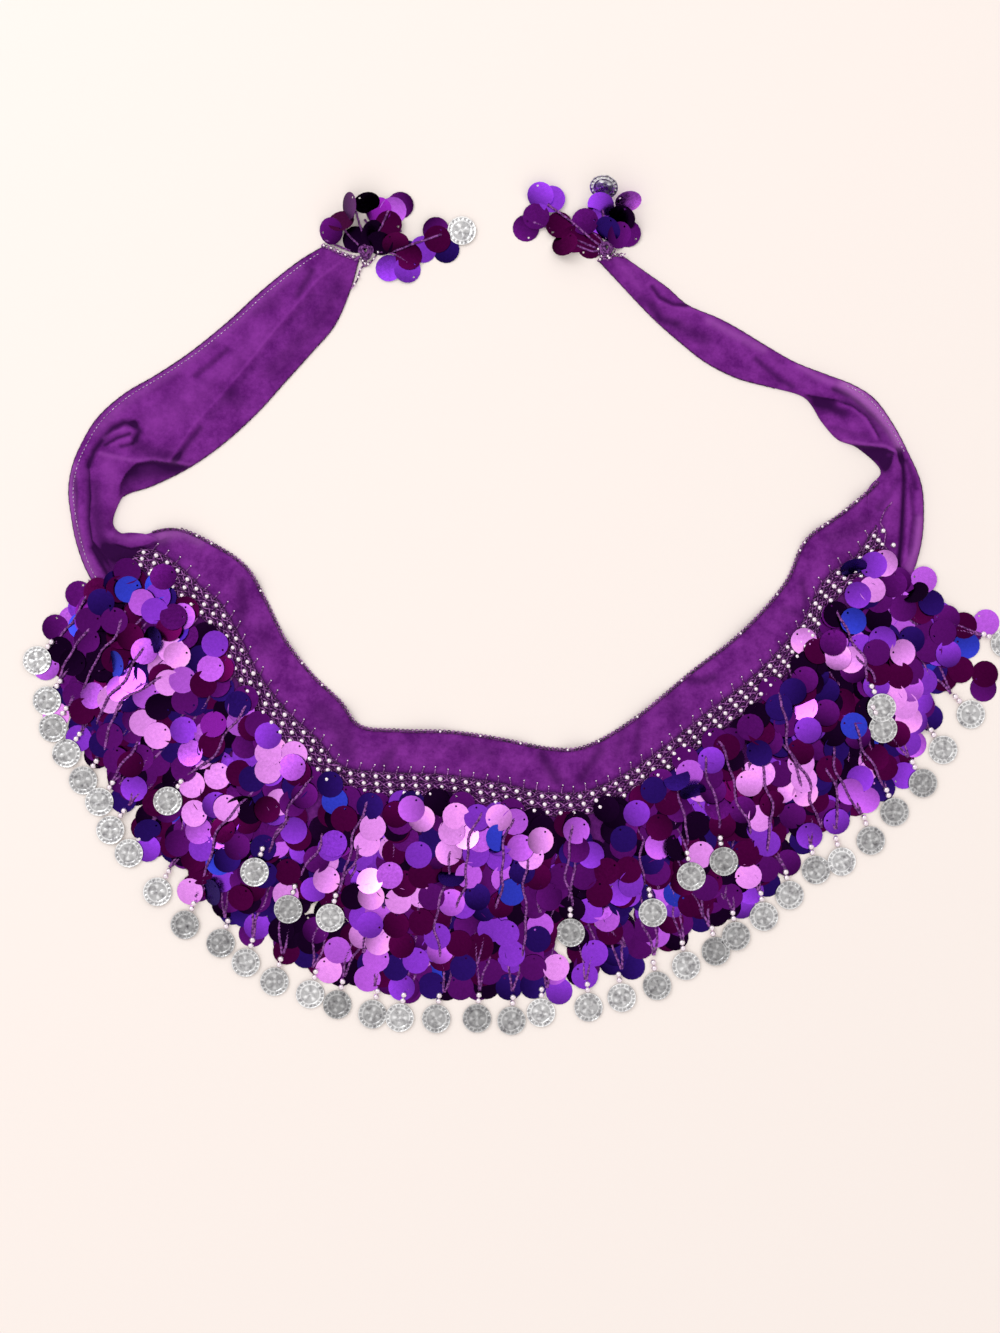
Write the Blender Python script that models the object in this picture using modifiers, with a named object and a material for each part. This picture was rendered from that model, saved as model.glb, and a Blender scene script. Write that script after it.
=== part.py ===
"""A belly dance hip scarf, laid flat in a horseshoe on a table. Metres, +Z up.

The chiffon hip panel curves round the bottom of the horseshoe. Each of its ends is gathered
into a long tie, and each tie ends in a tassel. A crocheted net with beads is sewn along the
panel, and below it hang three rows of spangled strands, the lowest with a coin on each strand.
The origin is at the bottom centre of the whole, and +Y runs from the fringe to the ties.
"""

import math
from collections import namedtuple

import bmesh
import bpy
from mathutils import Vector

MM = 0.001

# Cloth, crochet and the small gap that parts one piece from the next
CLOTH = 1.2 * MM
GAP = 0.3 * MM
SEAM = 0.5 * MM

# Bead net, down the panel from its top edge: it rises towards that edge at both ends
Net = namedtuple("Net", "section start")
NET = [Net(0.3, 13), Net(1.2, 21), Net(2.3, 29), Net(19.0, 29), Net(20.0, 20)]
NET_ENDS = (0.4, 19.9)
NET_DEPTH = 17 * MM
NET_THICK = 2.0 * MM

# Fringe: a backing strip for each stretch, and flat strands as wide as their spangles
STRIP_WIDTH = 4 * MM
STRIP_THICK = 1.6 * MM
STRAND_THICK = 1.9 * MM
SPANGLE_WIDTH = 15.5 * MM
WAIST_WIDTH = 7.5 * MM
ROOT_WIDTH = 4.5 * MM
NECK_WIDTH = 3.5 * MM
COIN_RADIUS = 10 * MM
COIN_THICK = 1.2 * MM
COIN_SIDES = 10
COIN_OVERLAP = 3 * MM
ABOVE_FLOOR = 0.4 * MM
ROOT_LIFT = 0.1 * MM
# A strand starts this share of the way across its strip
ROOT_SHARE = 0.6

# The panel's cross-sections, left to right, in mm: its top edge, its hem, and the centre of
# the coin that hangs lowest there
Section = namedtuple("Section", "top_x top_y hem_x hem_y coin_x coin_y")
PANEL = [
    Section(-270, 49, -301, 11, -342, -38),
    Section(-245, 53, -299, -14, -337, -68),
    Section(-216, 40, -290, -44, -327, -96),
    Section(-196, 25, -278, -71, -313, -120),
    Section(-184, 4, -264, -98, -297, -144),
    Section(-170, -24, -245, -124, -279, -173),
    Section(-151, -49, -221, -147, -252, -209),
    Section(-131, -68, -193, -166, -217, -237),
    Section(-117, -85, -159, -181, -182, -260),
    Section(-89, -88, -117, -191, -138, -277),
    Section(-54, -89, -75, -196, -93, -287),
    Section(-19, -94, -33, -198, -42, -289),
    Section(18, -101, 12, -198, 9, -287),
    Section(44, -98, 54, -194, 64, -275),
    Section(76, -79, 101, -180, 114, -252),
    Section(114, -48, 149, -154, 159, -224),
    Section(149, -20, 187, -124, 201, -186),
    Section(180, 14, 219, -91, 241, -163),
    Section(195, 45, 241, -56, 276, -122),
    Section(219, 63, 255, -21, 304, -82),
    Section(238, 79, 264, 4, 337, -24),
]
PANEL_STEPS = 4
RIPPLE_STEPS = 3
# The least share of a step that parts a piece's end from the next section
LEAST_STEP = 0.3

# Soft waves of the panel's top band: where they stand, in sections, how far they spread, in
# sections, and how high they lift
Ripple = namedtuple("Ripple", "section spread height")
RIPPLES = [
    Ripple(1.2, 0.9, 3.5),
    Ripple(3.4, 0.6, 2.0),
    Ripple(5.2, 0.7, 2.4),
    Ripple(7.4, 0.6, 2.8),
    Ripple(9.6, 0.7, 2.6),
    Ripple(11.3, 0.5, 1.6),
    Ripple(12.6, 0.5, 3.2),
    Ripple(14.2, 0.6, 2.2),
    Ripple(16.1, 0.7, 1.8),
    Ripple(18.3, 0.6, 2.6),
    Ripple(19.7, 0.4, 3.0),
]

# The flat left tie, from its tip: both edges, in mm
Band = namedtuple("Band", "outer_x outer_y inner_x inner_y")
LEFT_TIE = [
    Band(-143, 251, -120, 240),
    Band(-161, 240, -124, 221),
    Band(-186, 220, -135, 196),
    Band(-210, 198, -152, 176),
    Band(-236, 177, -170, 156),
    Band(-260, 161, -189, 135),
    Band(-282, 148, -212, 114),
    Band(-301, 131, -236, 99),
    Band(-313, 111, -264, 89),
]
TIE_STEPS = 2

# Long creases of the flat tie: where they stand across it, from 0 to 1, how far they spread,
# how high they lift, in mm
Crease = namedtuple("Crease", "across spread height")
TIE_CREASES = [
    Crease(0.12, 0.10, 1.2),
    Crease(0.42, 0.14, 2.2),
    Crease(0.72, 0.12, 1.6),
]
TIE_ACROSS = 11

# Stretches where the cloth lies in folds: both edges, in mm, and the height of the heap
Fold = namedtuple("Fold", "outer_x outer_y inner_x inner_y height")
LEFT_GATHER = [
    Fold(-313, 111, -264, 89, 5.0),
    Fold(-319, 95, -277, 84, 6.5),
    Fold(-321, 79, -286, 70, 7.5),
    Fold(-319, 62, -289, 57, 7.5),
    Fold(-316, 46, -285, 51, 7.0),
    Fold(-310, 28, -278, 51, 6.0),
    Fold(-301, 11, -270, 49, 4.0),
]
RIGHT_TIP = [
    Fold(69, 243, 49, 240, 6.0),
    Fold(84, 232, 65, 225, 6.5),
    Fold(98, 222, 79, 210, 6.0),
    Fold(112, 210, 91, 198, 5.5),
    Fold(133, 201, 107, 184, 5.0),
]
RIGHT_TIE = [
    Fold(133, 201, 107, 184, 5.0),
    Fold(148, 193, 125, 170, 4.0),
    Fold(166, 182, 147, 159, 4.0),
    Fold(187, 170, 173, 152, 5.0),
    Fold(210, 161, 194, 145, 6.5),
]
RIGHT_TWIST = [
    Fold(210, 161, 194, 145, 6.5),
    Fold(228, 154, 206, 128, 7.0),
    Fold(243, 144, 217, 116, 7.5),
    Fold(256, 126, 234, 109, 8.0),
    Fold(266, 107, 247, 98, 8.0),
]
RIGHT_GATHER = [
    Fold(266, 107, 247, 98, 8.0),
    Fold(275, 86, 239, 81, 7.5),
    Fold(277, 65, 248, 53, 6.5),
    Fold(275, 42, 257, 28, 5.5),
    Fold(266, 16, 265, 6, 4.0),
]
FOLD_STEPS = 3
POINTS_A_PLEAT = 4
GROOVE = 0.55
SLOPE_STEP = 0.1

# The three rows of the fringe. A row is rooted at a share of the way from the net to the hem,
# and its strands reach a share of the way from the hem to the outer coins. They stand an even
# distance apart from the first section to the last. Those listed under coins end in a coin
Row = namedtuple("Row", "name root first last strands reach lobes coins coin_reach bottom")
ROWS = [
    Row("hem_fringe", 1.0, 0.15, 19.9, 37, 1.00, 4, range(37), 1.00, 0.4),
    Row("middle_fringe", 0.5, 0.5, 19.4, 29, 0.58, 3, (9, 10, 16, 18, 26), 0.36, 3.2),
    Row("upper_fringe", 0.0, 0.8, 19.5, 29, 0.20, 3, (5, 8, 19, 20, 26), 0.20, 6.1),
]
STRETCHES = 5
STRIP_END = 0.08
# Half of what parts one stretch of strip from the next, in sections
STRIP_PARTING = 0.01
RISE = 13 * MM
TABLE_SAMPLES = 40

# Tassels: the knot at the end of a tie and where its strands end, in mm; the last one carries
# the coin
TASSELS = {
    "left_tassel": ((-119.5, 246.5), [(-142, 262), (-128, 274), (-92, 277), (-84, 239), (-47, 262)]),
    "right_tassel": ((55.6, 246.6), [(3, 262), (17, 282), (79, 263), (74, 276), (52, 293)]),
}
KNOT_SIZE = (11 * MM, 11 * MM, 6 * MM)
KNOT_ROOT = 0.38
TASSEL_BOTTOM = 1.3 * MM
TASSEL_LOBES = 2

CHIFFON = ("chiffon", (0.19, 0.02, 0.29), 0.75, 0.0)
CROCHET = ("bead_net", (0.10, 0.01, 0.13), 0.6, 0.0)
SPANGLES = ("spangles", (0.33, 0.05, 0.55), 0.25, 0.8)


def clear_scene():
    for obj in list(bpy.data.objects):
        bpy.data.objects.remove(obj)


def new_collection(name):
    collection = bpy.data.collections.new(name)
    bpy.context.scene.collection.children.link(collection)
    return collection


def new_material(name, colour, roughness, metallic):
    material = bpy.data.materials.new(name)
    material.use_nodes = True
    shader = material.node_tree.nodes["Principled BSDF"]
    shader.inputs["Base Color"].default_value = (*colour, 1)
    shader.inputs["Roughness"].default_value = roughness
    shader.inputs["Metallic"].default_value = metallic
    return material


def object_from(bm, name, collection, material=None):
    """Turns a bmesh into an object, with its faces pointing out."""
    bmesh.ops.recalc_face_normals(bm, faces=bm.faces)
    mesh = bpy.data.meshes.new(name)
    bm.to_mesh(mesh)
    bm.free()
    if material:
        mesh.materials.append(material)
    obj = bpy.data.objects.new(name, mesh)
    collection.objects.link(obj)
    return obj


def smooth(values, at):
    """The value at row number at of a column, on a smooth curve through its rows."""
    last = len(values) - 1
    i = min(max(int(at), 0), last - 1)
    u = at - i
    before, a, b, after = (values[min(max(i + k, 0), last)] for k in (-1, 0, 1, 2))
    slope = (b - before) * u
    bend = (2 * before - 5 * a + 4 * b - after) * u**2
    twist = (3 * a - before - 3 * b + after) * u**3
    return 0.5 * (2 * a + slope + bend + twist)


def points_of(table, x, y):
    return [Vector((getattr(row, x), getattr(row, y))) * MM for row in table]


TOPS = points_of(PANEL, "top_x", "top_y")
HEMS = points_of(PANEL, "hem_x", "hem_y")
COINS = points_of(PANEL, "coin_x", "coin_y")


def depth_at(section):
    return (smooth(HEMS, section) - smooth(TOPS, section)).length


def drop_at(section):
    return (smooth(COINS, section) - smooth(HEMS, section)).length


def panel_point(section, reach):
    """A point in plan, reach below the panel's top edge, and past the hem towards the coins."""
    top, hem = smooth(TOPS, section), smooth(HEMS, section)
    depth = (hem - top).length
    if reach <= depth:
        return top.lerp(hem, reach / depth)
    towards = (smooth(COINS, section) - hem).normalized()
    return hem + towards * (reach - depth)


def bump(distance, spread):
    """A soft hill, 1 in the middle and 0 at its spread."""
    return math.cos(min(abs(distance / spread), 1) * math.pi / 2) ** 2


def net_start(section):
    for here, there in zip(NET, NET[1:]):
        if section <= there.section:
            break
    share = (section - here.section) / (there.section - here.section)
    return (here.start + (there.start - here.start) * max(share, 0)) * MM


def ripple_lift(section, reach):
    fade = max(0, 1 - reach / net_start(section))
    height = max(r.height * bump(section - r.section, r.spread) for r in RIPPLES)
    return height * fade * MM


def section_steps(first, last):
    """Section numbers from first to last, with the panel's own steps between them."""
    inner = [k / PANEL_STEPS for k in range(int((len(PANEL) - 1) * PANEL_STEPS) + 1)]
    margin = LEAST_STEP / PANEL_STEPS
    return [first] + [s for s in inner if first + margin < s < last - margin] + [last]


def cloth_wall(name, grid, collection, material):
    """A wall of cloth standing on a grid of points, one list of points for each section."""
    bm = bmesh.new()
    rows = [[bm.verts.new(p) for p in line] for line in grid]
    for here, there in zip(rows, rows[1:]):
        for k in range(len(here) - 1):
            bm.faces.new((here[k], here[k + 1], there[k + 1], there[k]))
    bmesh.ops.recalc_face_normals(bm, faces=bm.faces)
    if sum(face.normal.z for face in bm.faces) < 0:
        bmesh.ops.reverse_faces(bm, faces=bm.faces)
    mesh = bpy.data.meshes.new(name)
    bm.to_mesh(mesh)
    bm.free()
    mesh.materials.append(material)
    obj = bpy.data.objects.new(name, mesh)
    collection.objects.link(obj)
    wall = obj.modifiers.new("wall", "SOLIDIFY")
    wall.thickness = CLOTH
    wall.offset = 1
    return obj


def closed_loft(bm, rings):
    """Joins rings of points into one closed body."""
    loops = [[bm.verts.new(p) for p in ring] for ring in rings]
    count = len(loops[0])
    for here, there in zip(loops, loops[1:]):
        for k in range(count):
            n = (k + 1) % count
            bm.faces.new((here[k], here[n], there[n], there[k]))
    bm.faces.new(loops[0])
    bm.faces.new(loops[-1])


def hip_panel(collection, material):
    grid = []
    for section in section_steps(0, len(PANEL) - 1):
        depth = depth_at(section)
        start = net_start(section)
        reaches = [start * k / RIPPLE_STEPS for k in range(RIPPLE_STEPS + 1)] + [depth]
        grid.append(
            [(*panel_point(section, r), ripple_lift(section, r)) for r in reaches]
        )
    cloth_wall("hip_panel", grid, collection, material)


def bead_net(collection, material):
    low = CLOTH + GAP
    rings = []
    for section in section_steps(*NET_ENDS):
        start = net_start(section) + SEAM
        inner = panel_point(section, start)
        outer = panel_point(section, start + NET_DEPTH)
        rings.append(
            [
                (*inner, low),
                (*outer, low),
                (*outer, low + NET_THICK),
                (*inner, low + NET_THICK),
            ]
        )
    bm = bmesh.new()
    closed_loft(bm, rings)
    object_from(bm, "bead_net", collection, material)


def tie_lift(across):
    return sum(c.height * bump(across - c.across, c.spread) for c in TIE_CREASES) * MM


def left_tie(collection, material):
    outer = points_of(LEFT_TIE, "outer_x", "outer_y")
    inner = points_of(LEFT_TIE, "inner_x", "inner_y")
    last = len(LEFT_TIE) - 1
    grid = []
    for k in range(last * TIE_STEPS + 1):
        at = k / TIE_STEPS
        start, end = smooth(outer, at), smooth(inner, at)
        fade = min(1, at, last - at)
        line = []
        for j in range(TIE_ACROSS + 1):
            across = j / TIE_ACROSS
            line.append((*start.lerp(end, across), tie_lift(across) * fade))
        grid.append(line)
    cloth_wall("left_tie", grid, collection, material)


def folded_stretch(name, table, pleats, drift, collection, material):
    """Cloth lying in folds: flat below, ridged above, with thin edges. drift is how many
    pleats the ridges wander across from one end to the other, as in a twist."""
    outer = points_of(table, "outer_x", "outer_y")
    inner = points_of(table, "inner_x", "inner_y")
    heights = [row.height * MM for row in table]
    last = len(table) - 1
    across = pleats * POINTS_A_PLEAT
    rings = []
    for k in range(last * FOLD_STEPS + 1):
        at = k / FOLD_STEPS
        start, end, height = (smooth(column, at) for column in (outer, inner, heights))
        # Where one stretch follows another, its ends stand back from the shared section
        back = SEAM / 2 * (k == 0) - SEAM / 2 * (k == last * FOLD_STEPS)
        after, before = min(at + SLOPE_STEP, last), max(at - SLOPE_STEP, 0)
        ahead = smooth(outer, after) - smooth(outer, before)
        shift = ahead.normalized() * back
        top = []
        for j in range(across + 1):
            u = j / across
            ridge = 0.5 - 0.5 * math.cos(2 * math.pi * (pleats * u + drift * at / last))
            share = math.sqrt(math.sin(math.pi * u)) if 0 < j < across else 0
            lift = CLOTH + (height - CLOTH) * share * (1 - GROOVE * (1 - ridge))
            top.append((*(start.lerp(end, u) + shift), lift))
        rings.append([(*(end + shift), 0), (*(start + shift), 0)] + top)
    bm = bmesh.new()
    closed_loft(bm, rings)
    object_from(bm, name, collection, material)


def flat_strand(bm, points, widths, bottoms, thick):
    """A strand of four sides along points in plan, with its width and underside at each."""
    rings = []
    for k, point in enumerate(points):
        ahead = points[min(k + 1, len(points) - 1)] - points[max(k - 1, 0)]
        side = Vector((-ahead.y, ahead.x)).normalized() * widths[k] / 2
        low, high = bottoms[k], bottoms[k] + thick
        left, right = point + side, point - side
        rings.append([(*left, low), (*right, low), (*right, high), (*left, high)])
    closed_loft(bm, rings)


def coin(bm, centre, bottom):
    made = bmesh.ops.create_cone(
        bm,
        cap_ends=True,
        segments=COIN_SIDES,
        radius1=COIN_RADIUS,
        radius2=COIN_RADIUS,
        depth=COIN_THICK,
    )
    lift = bottom + STRAND_THICK / 2
    bmesh.ops.translate(bm, verts=made["verts"], vec=(*centre, lift))


def join(target, bm, name, cutters):
    """Adds closed bodies, which may cross each other, to an object by a Boolean union."""
    tool = object_from(bm, name, cutters)
    tool.hide_render = True
    tool.display_type = "WIRE"
    union = target.modifiers.new(name, "BOOLEAN")
    union.operation = "UNION"
    union.object = tool
    union.use_self = True


def root_reach(row, section):
    """How far below the top edge a row of the fringe is rooted."""
    start = net_start(section) + 2 * SEAM + NET_DEPTH
    depth = depth_at(section)
    if row.root == 1:
        return depth + SEAM
    return start + (depth - start) * row.root


def even_sections(row):
    """Section numbers an even distance apart along a row's roots."""
    steps = (len(PANEL) - 1) * TABLE_SAMPLES
    sections = [row.first + (row.last - row.first) * k / steps for k in range(steps + 1)]
    roots = [panel_point(s, root_reach(row, s)) for s in sections]
    along = [0]
    for here, there in zip(roots, roots[1:]):
        along.append(along[-1] + (there - here).length)
    found = []
    k = 0
    for n in range(row.strands):
        wanted = along[-1] * n / (row.strands - 1)
        while along[k] < wanted - 1e-9:
            k += 1
        found.append(sections[k])
    return found


def strand_widths(lobes, with_coin):
    """Waists and widest places in turn, one pair for each lobe, and a neck above a coin."""
    widths = [ROOT_WIDTH] + [SPANGLE_WIDTH, WAIST_WIDTH] * lobes
    if with_coin:
        widths[-1] = NECK_WIDTH
    return widths


def fringe_strand(row, section, with_coin, strands, coins):
    bottom = row.bottom * MM
    strip_low = 0 if row.root == 1 else CLOTH + GAP
    start = root_reach(row, section) + STRIP_WIDTH * ROOT_SHARE
    end = depth_at(section) + drop_at(section) * (row.coin_reach if with_coin else row.reach)
    if with_coin:
        end -= COIN_RADIUS - COIN_OVERLAP
    widths = strand_widths(row.lobes, with_coin)
    points = []
    bottoms = []
    for k in range(len(widths)):
        reach = start + (end - start) * k / (len(widths) - 1)
        points.append(panel_point(section, reach))
        share = min(1, (reach - start) / RISE)
        bottoms.append(max(strip_low + ROOT_LIFT, ABOVE_FLOOR) * (1 - share) + bottom * share)
    flat_strand(strands, points, widths, bottoms, STRAND_THICK)
    if with_coin:
        centre = panel_point(section, end + COIN_RADIUS - COIN_OVERLAP)
        coin(coins, centre, bottom)


def strip(row, first, last):
    """The narrow backing that a stretch of strands is sewn to."""
    low = 0 if row.root == 1 else CLOTH + GAP
    rings = []
    for section in section_steps(first, last):
        start = root_reach(row, section)
        inner = panel_point(section, start)
        outer = panel_point(section, start + STRIP_WIDTH)
        high = low + STRIP_THICK
        rings.append([(*inner, low), (*outer, low), (*outer, high), (*inner, high)])
    bm = bmesh.new()
    closed_loft(bm, rings)
    return bm


def fringe_row(row, collection, cutters, material):
    sections = even_sections(row)
    edges = [round(len(sections) * k / STRETCHES) for k in range(STRETCHES + 1)]
    halfway = [(a + b) / 2 for a, b in zip(sections, sections[1:])]
    for stretch in range(STRETCHES):
        own = range(edges[stretch], edges[stretch + 1])
        first = halfway[own[0] - 1] + STRIP_PARTING if own[0] else row.first - STRIP_END
        at_end = own[-1] == row.strands - 1
        last = row.last + STRIP_END if at_end else halfway[own[-1]] - STRIP_PARTING
        name = f"{row.name}_{stretch + 1}"
        backing = object_from(strip(row, first, last), name, collection, material)
        strands, coins = bmesh.new(), bmesh.new()
        for n in own:
            fringe_strand(row, sections[n], n in row.coins, strands, coins)
        join(backing, strands, f"strands_{name}", cutters)
        join(backing, coins, f"coins_{name}", cutters)


def tassel(name, knot, ends, collection, cutters, material):
    bm = bmesh.new()
    bmesh.ops.create_uvsphere(bm, u_segments=10, v_segments=6, radius=0.5)
    bmesh.ops.scale(bm, verts=bm.verts, vec=KNOT_SIZE)
    centre = Vector(knot) * MM
    lift = ABOVE_FLOOR + KNOT_SIZE[2] / 2
    bmesh.ops.translate(bm, verts=bm.verts, vec=(*centre, lift))
    head = object_from(bm, name, collection, material)
    strands, coins = bmesh.new(), bmesh.new()
    for n, place in enumerate(ends):
        with_coin = n == len(ends) - 1
        end = Vector(place) * MM
        towards = (end - centre).normalized()
        start = centre + towards * KNOT_SIZE[0] * KNOT_ROOT
        stop = end - towards * (COIN_RADIUS - COIN_OVERLAP) * with_coin
        widths = strand_widths(TASSEL_LOBES, with_coin)
        count = len(widths) - 1
        points = [start.lerp(stop, k / count) for k in range(count + 1)]
        flat_strand(strands, points, widths, [TASSEL_BOTTOM] * (count + 1), STRAND_THICK)
        if with_coin:
            coin(coins, end, TASSEL_BOTTOM)
    join(head, strands, f"strands_{name}", cutters)
    join(head, coins, f"coins_{name}", cutters)


def build():
    clear_scene()
    scarf = new_collection("hip_scarf")
    cutters = new_collection("union_tools")
    chiffon = new_material(*CHIFFON)
    crochet = new_material(*CROCHET)
    spangles = new_material(*SPANGLES)
    hip_panel(scarf, chiffon)
    left_tie(scarf, chiffon)
    folded_stretch("left_gather", LEFT_GATHER, 4, 0, scarf, chiffon)
    folded_stretch("right_tie_tip", RIGHT_TIP, 2, 0.5, scarf, chiffon)
    folded_stretch("right_tie", RIGHT_TIE, 2, 0.5, scarf, chiffon)
    folded_stretch("right_twist", RIGHT_TWIST, 3, 1, scarf, chiffon)
    folded_stretch("right_gather", RIGHT_GATHER, 4, 0, scarf, chiffon)
    bead_net(scarf, crochet)
    for row in ROWS:
        fringe_row(row, scarf, cutters, spangles)
    for name, (knot, ends) in TASSELS.items():
        tassel(name, knot, ends, scarf, cutters, spangles)


build()
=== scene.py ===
"""The looks of a belly dance hip scarf, laid flat in a horseshoe and seen from above."""

import itertools
import math
from collections import namedtuple

import bpy
import numpy as np
from mathutils import Matrix, Vector, noise


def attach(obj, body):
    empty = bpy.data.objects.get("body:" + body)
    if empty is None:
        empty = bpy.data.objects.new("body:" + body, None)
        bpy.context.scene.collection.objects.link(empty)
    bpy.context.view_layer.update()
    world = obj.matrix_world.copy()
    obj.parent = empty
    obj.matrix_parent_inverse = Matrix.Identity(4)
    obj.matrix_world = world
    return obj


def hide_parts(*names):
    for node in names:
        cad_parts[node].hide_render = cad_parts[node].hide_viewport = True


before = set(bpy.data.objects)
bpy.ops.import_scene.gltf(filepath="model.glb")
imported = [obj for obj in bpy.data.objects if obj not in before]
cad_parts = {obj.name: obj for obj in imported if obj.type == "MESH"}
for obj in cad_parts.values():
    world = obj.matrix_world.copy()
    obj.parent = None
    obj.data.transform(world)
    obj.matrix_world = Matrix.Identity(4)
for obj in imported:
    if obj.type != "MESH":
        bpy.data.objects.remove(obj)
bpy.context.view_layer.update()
MM = 0.001

# The scarf lies on a plain pale floor, under one wide soft lamp in a pale studio. The camera
# looks straight down on a view 0.7 m wide, with the ties at the top of the picture.
VIEW_CENTRE = Vector((-19.25, -42.7)) * MM
VIEW_WIDTH = 700 * MM
CAMERA_HEIGHT = 1.3
FILM_WIDTH = 36.0
LAMP_PLACE = Vector((-1.3, 1.2, 1.7))
LAMP_SIZE = 1.2
LAMP_POWER = 13.0
STUDIO = (1.0, 0.965, 0.95)
STUDIO_STRENGTH = 1.0
FLOOR_SIZE = 6.0
FLOOR_COLOUR = (0.88, 0.815, 0.775)


def place(name, data):
    obj = bpy.data.objects.new(name, data)
    bpy.context.scene.collection.objects.link(obj)
    return obj


def add(tree, kind, settings=None, **inputs):
    """Adds a node. An input's value is a number, a colour or another node's output."""
    made = tree.nodes.new(kind)
    for key, value in (settings or {}).items():
        setattr(made, key, value)
    for key, value in inputs.items():
        socket = made.inputs[int(key[1:]) if key[1:].isdigit() else key.replace("_", " ")]
        if isinstance(value, bpy.types.NodeSocket):
            tree.links.new(value, socket)
        else:
            socket.default_value = value
    return made


def reckon(tree, operation, *values, clamp=False):
    """A math node's result."""
    given = {f"i{k}": value for k, value in enumerate(values)}
    return add(tree, "ShaderNodeMath", {"operation": operation, "use_clamp": clamp}, **given).outputs[0]


def blend(tree, share, first, second):
    """Two colours mixed by a share."""
    return add(tree, "ShaderNodeMix", {"data_type": "RGBA"}, i0=share, i6=first, i7=second).outputs[2]


def ranged(tree, value, low, high, to_low=0.0, to_high=1.0):
    """A value spread from one range to another."""
    ends = {"From_Min": low, "From_Max": high, "To_Min": to_low, "To_Max": to_high}
    return add(tree, "ShaderNodeMapRange", Value=value, **ends).outputs[0]


def attribute(tree, name, output="Fac"):
    return add(tree, "ShaderNodeAttribute", {"attribute_name": name}).outputs[output]


def new_material(name, **constants):
    """A material, its tree and its Principled shader, with the shader's constants set."""
    material = bpy.data.materials.new(name)
    material.use_nodes = True
    shader = material.node_tree.nodes["Principled BSDF"]
    for key, value in constants.items():
        shader.inputs[key.replace("_", " ")].default_value = value
    return material, material.node_tree, shader


floor_mesh = bpy.data.meshes.new("floor")
half = FLOOR_SIZE / 2
floor_mesh.from_pydata(
    [(-half, -half, 0), (half, -half, 0), (half, half, 0), (-half, half, 0)], [], [(0, 1, 2, 3)]
)
floor_material, _, _ = new_material(
    "pale floor", Base_Color=(*FLOOR_COLOUR, 1), Roughness=0.9, Specular_IOR_Level=0.1
)
floor_mesh.materials.append(floor_material)
place("floor", floor_mesh)

camera_data = bpy.data.cameras.new("camera")
camera_data.sensor_fit = "HORIZONTAL"
camera_data.sensor_width = FILM_WIDTH
camera_data.lens = FILM_WIDTH * CAMERA_HEIGHT / VIEW_WIDTH
camera = place("camera", camera_data)
camera.location = (*VIEW_CENTRE, CAMERA_HEIGHT)
bpy.context.scene.camera = camera

lamp_data = bpy.data.lights.new("lamp", "AREA")
lamp_data.size = LAMP_SIZE
lamp_data.energy = LAMP_POWER
lamp = place("lamp", lamp_data)
lamp.location = LAMP_PLACE
lamp.rotation_euler = (-LAMP_PLACE).to_track_quat("-Z", "Y").to_euler()

world = bpy.data.worlds.new("studio")
world.use_nodes = True
bpy.context.scene.world = world
backdrop = world.node_tree.nodes["Background"]
backdrop.inputs["Color"].default_value = (*STUDIO, 1)
backdrop.inputs["Strength"].default_value = STUDIO_STRENGTH
bpy.context.scene.view_settings.view_transform = "Standard"


# The hip panel is one crescent of purple chiffon. Its outline runs through these
# sections, left to right, in mm: the top edge, the hem and the outer coins. Soft waves lift its
# top band, and creases run down to the net.
Section = namedtuple("Section", "top_x top_y hem_x hem_y coin_x coin_y")
PANEL = [
    Section(-270, 49, -301, 11, -342, -38),
    Section(-245, 53, -299, -14, -337, -68),
    Section(-216, 40, -290, -44, -327, -96),
    Section(-196, 25, -278, -71, -313, -120),
    Section(-184, 4, -264, -98, -297, -144),
    Section(-170, -24, -245, -124, -279, -173),
    Section(-151, -49, -221, -147, -252, -209),
    Section(-131, -68, -193, -166, -217, -237),
    Section(-117, -85, -159, -181, -182, -260),
    Section(-89, -88, -117, -191, -138, -277),
    Section(-54, -89, -75, -196, -93, -287),
    Section(-19, -94, -33, -198, -42, -289),
    Section(18, -101, 12, -198, 9, -287),
    Section(44, -98, 54, -194, 64, -275),
    Section(76, -79, 101, -180, 114, -252),
    Section(114, -48, 149, -154, 159, -224),
    Section(149, -20, 187, -124, 201, -186),
    Section(180, 14, 219, -91, 241, -163),
    Section(195, 45, 241, -56, 276, -122),
    Section(219, 63, 255, -21, 304, -82),
    Section(238, 79, 264, 4, 337, -24),
]
LAST_SECTION = len(PANEL) - 1
Net = namedtuple("Net", "section start")
NET = [Net(0.3, 13), Net(1.2, 21), Net(2.3, 29), Net(19.0, 29), Net(20.0, 20)]
NET_DEPTH = 17
SEAM = 0.5

Ripple = namedtuple("Ripple", "section spread height")
RIPPLES = [
    Ripple(1.2, 0.9, 3.5),
    Ripple(3.4, 0.6, 2.0),
    Ripple(5.2, 0.7, 2.4),
    Ripple(7.4, 0.6, 2.8),
    Ripple(9.6, 0.7, 2.6),
    Ripple(11.3, 0.5, 1.6),
    Ripple(12.6, 0.5, 3.2),
    Ripple(14.2, 0.6, 2.2),
    Ripple(16.1, 0.7, 1.8),
    Ripple(18.3, 0.6, 2.6),
    Ripple(19.7, 0.4, 3.0),
]

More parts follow.
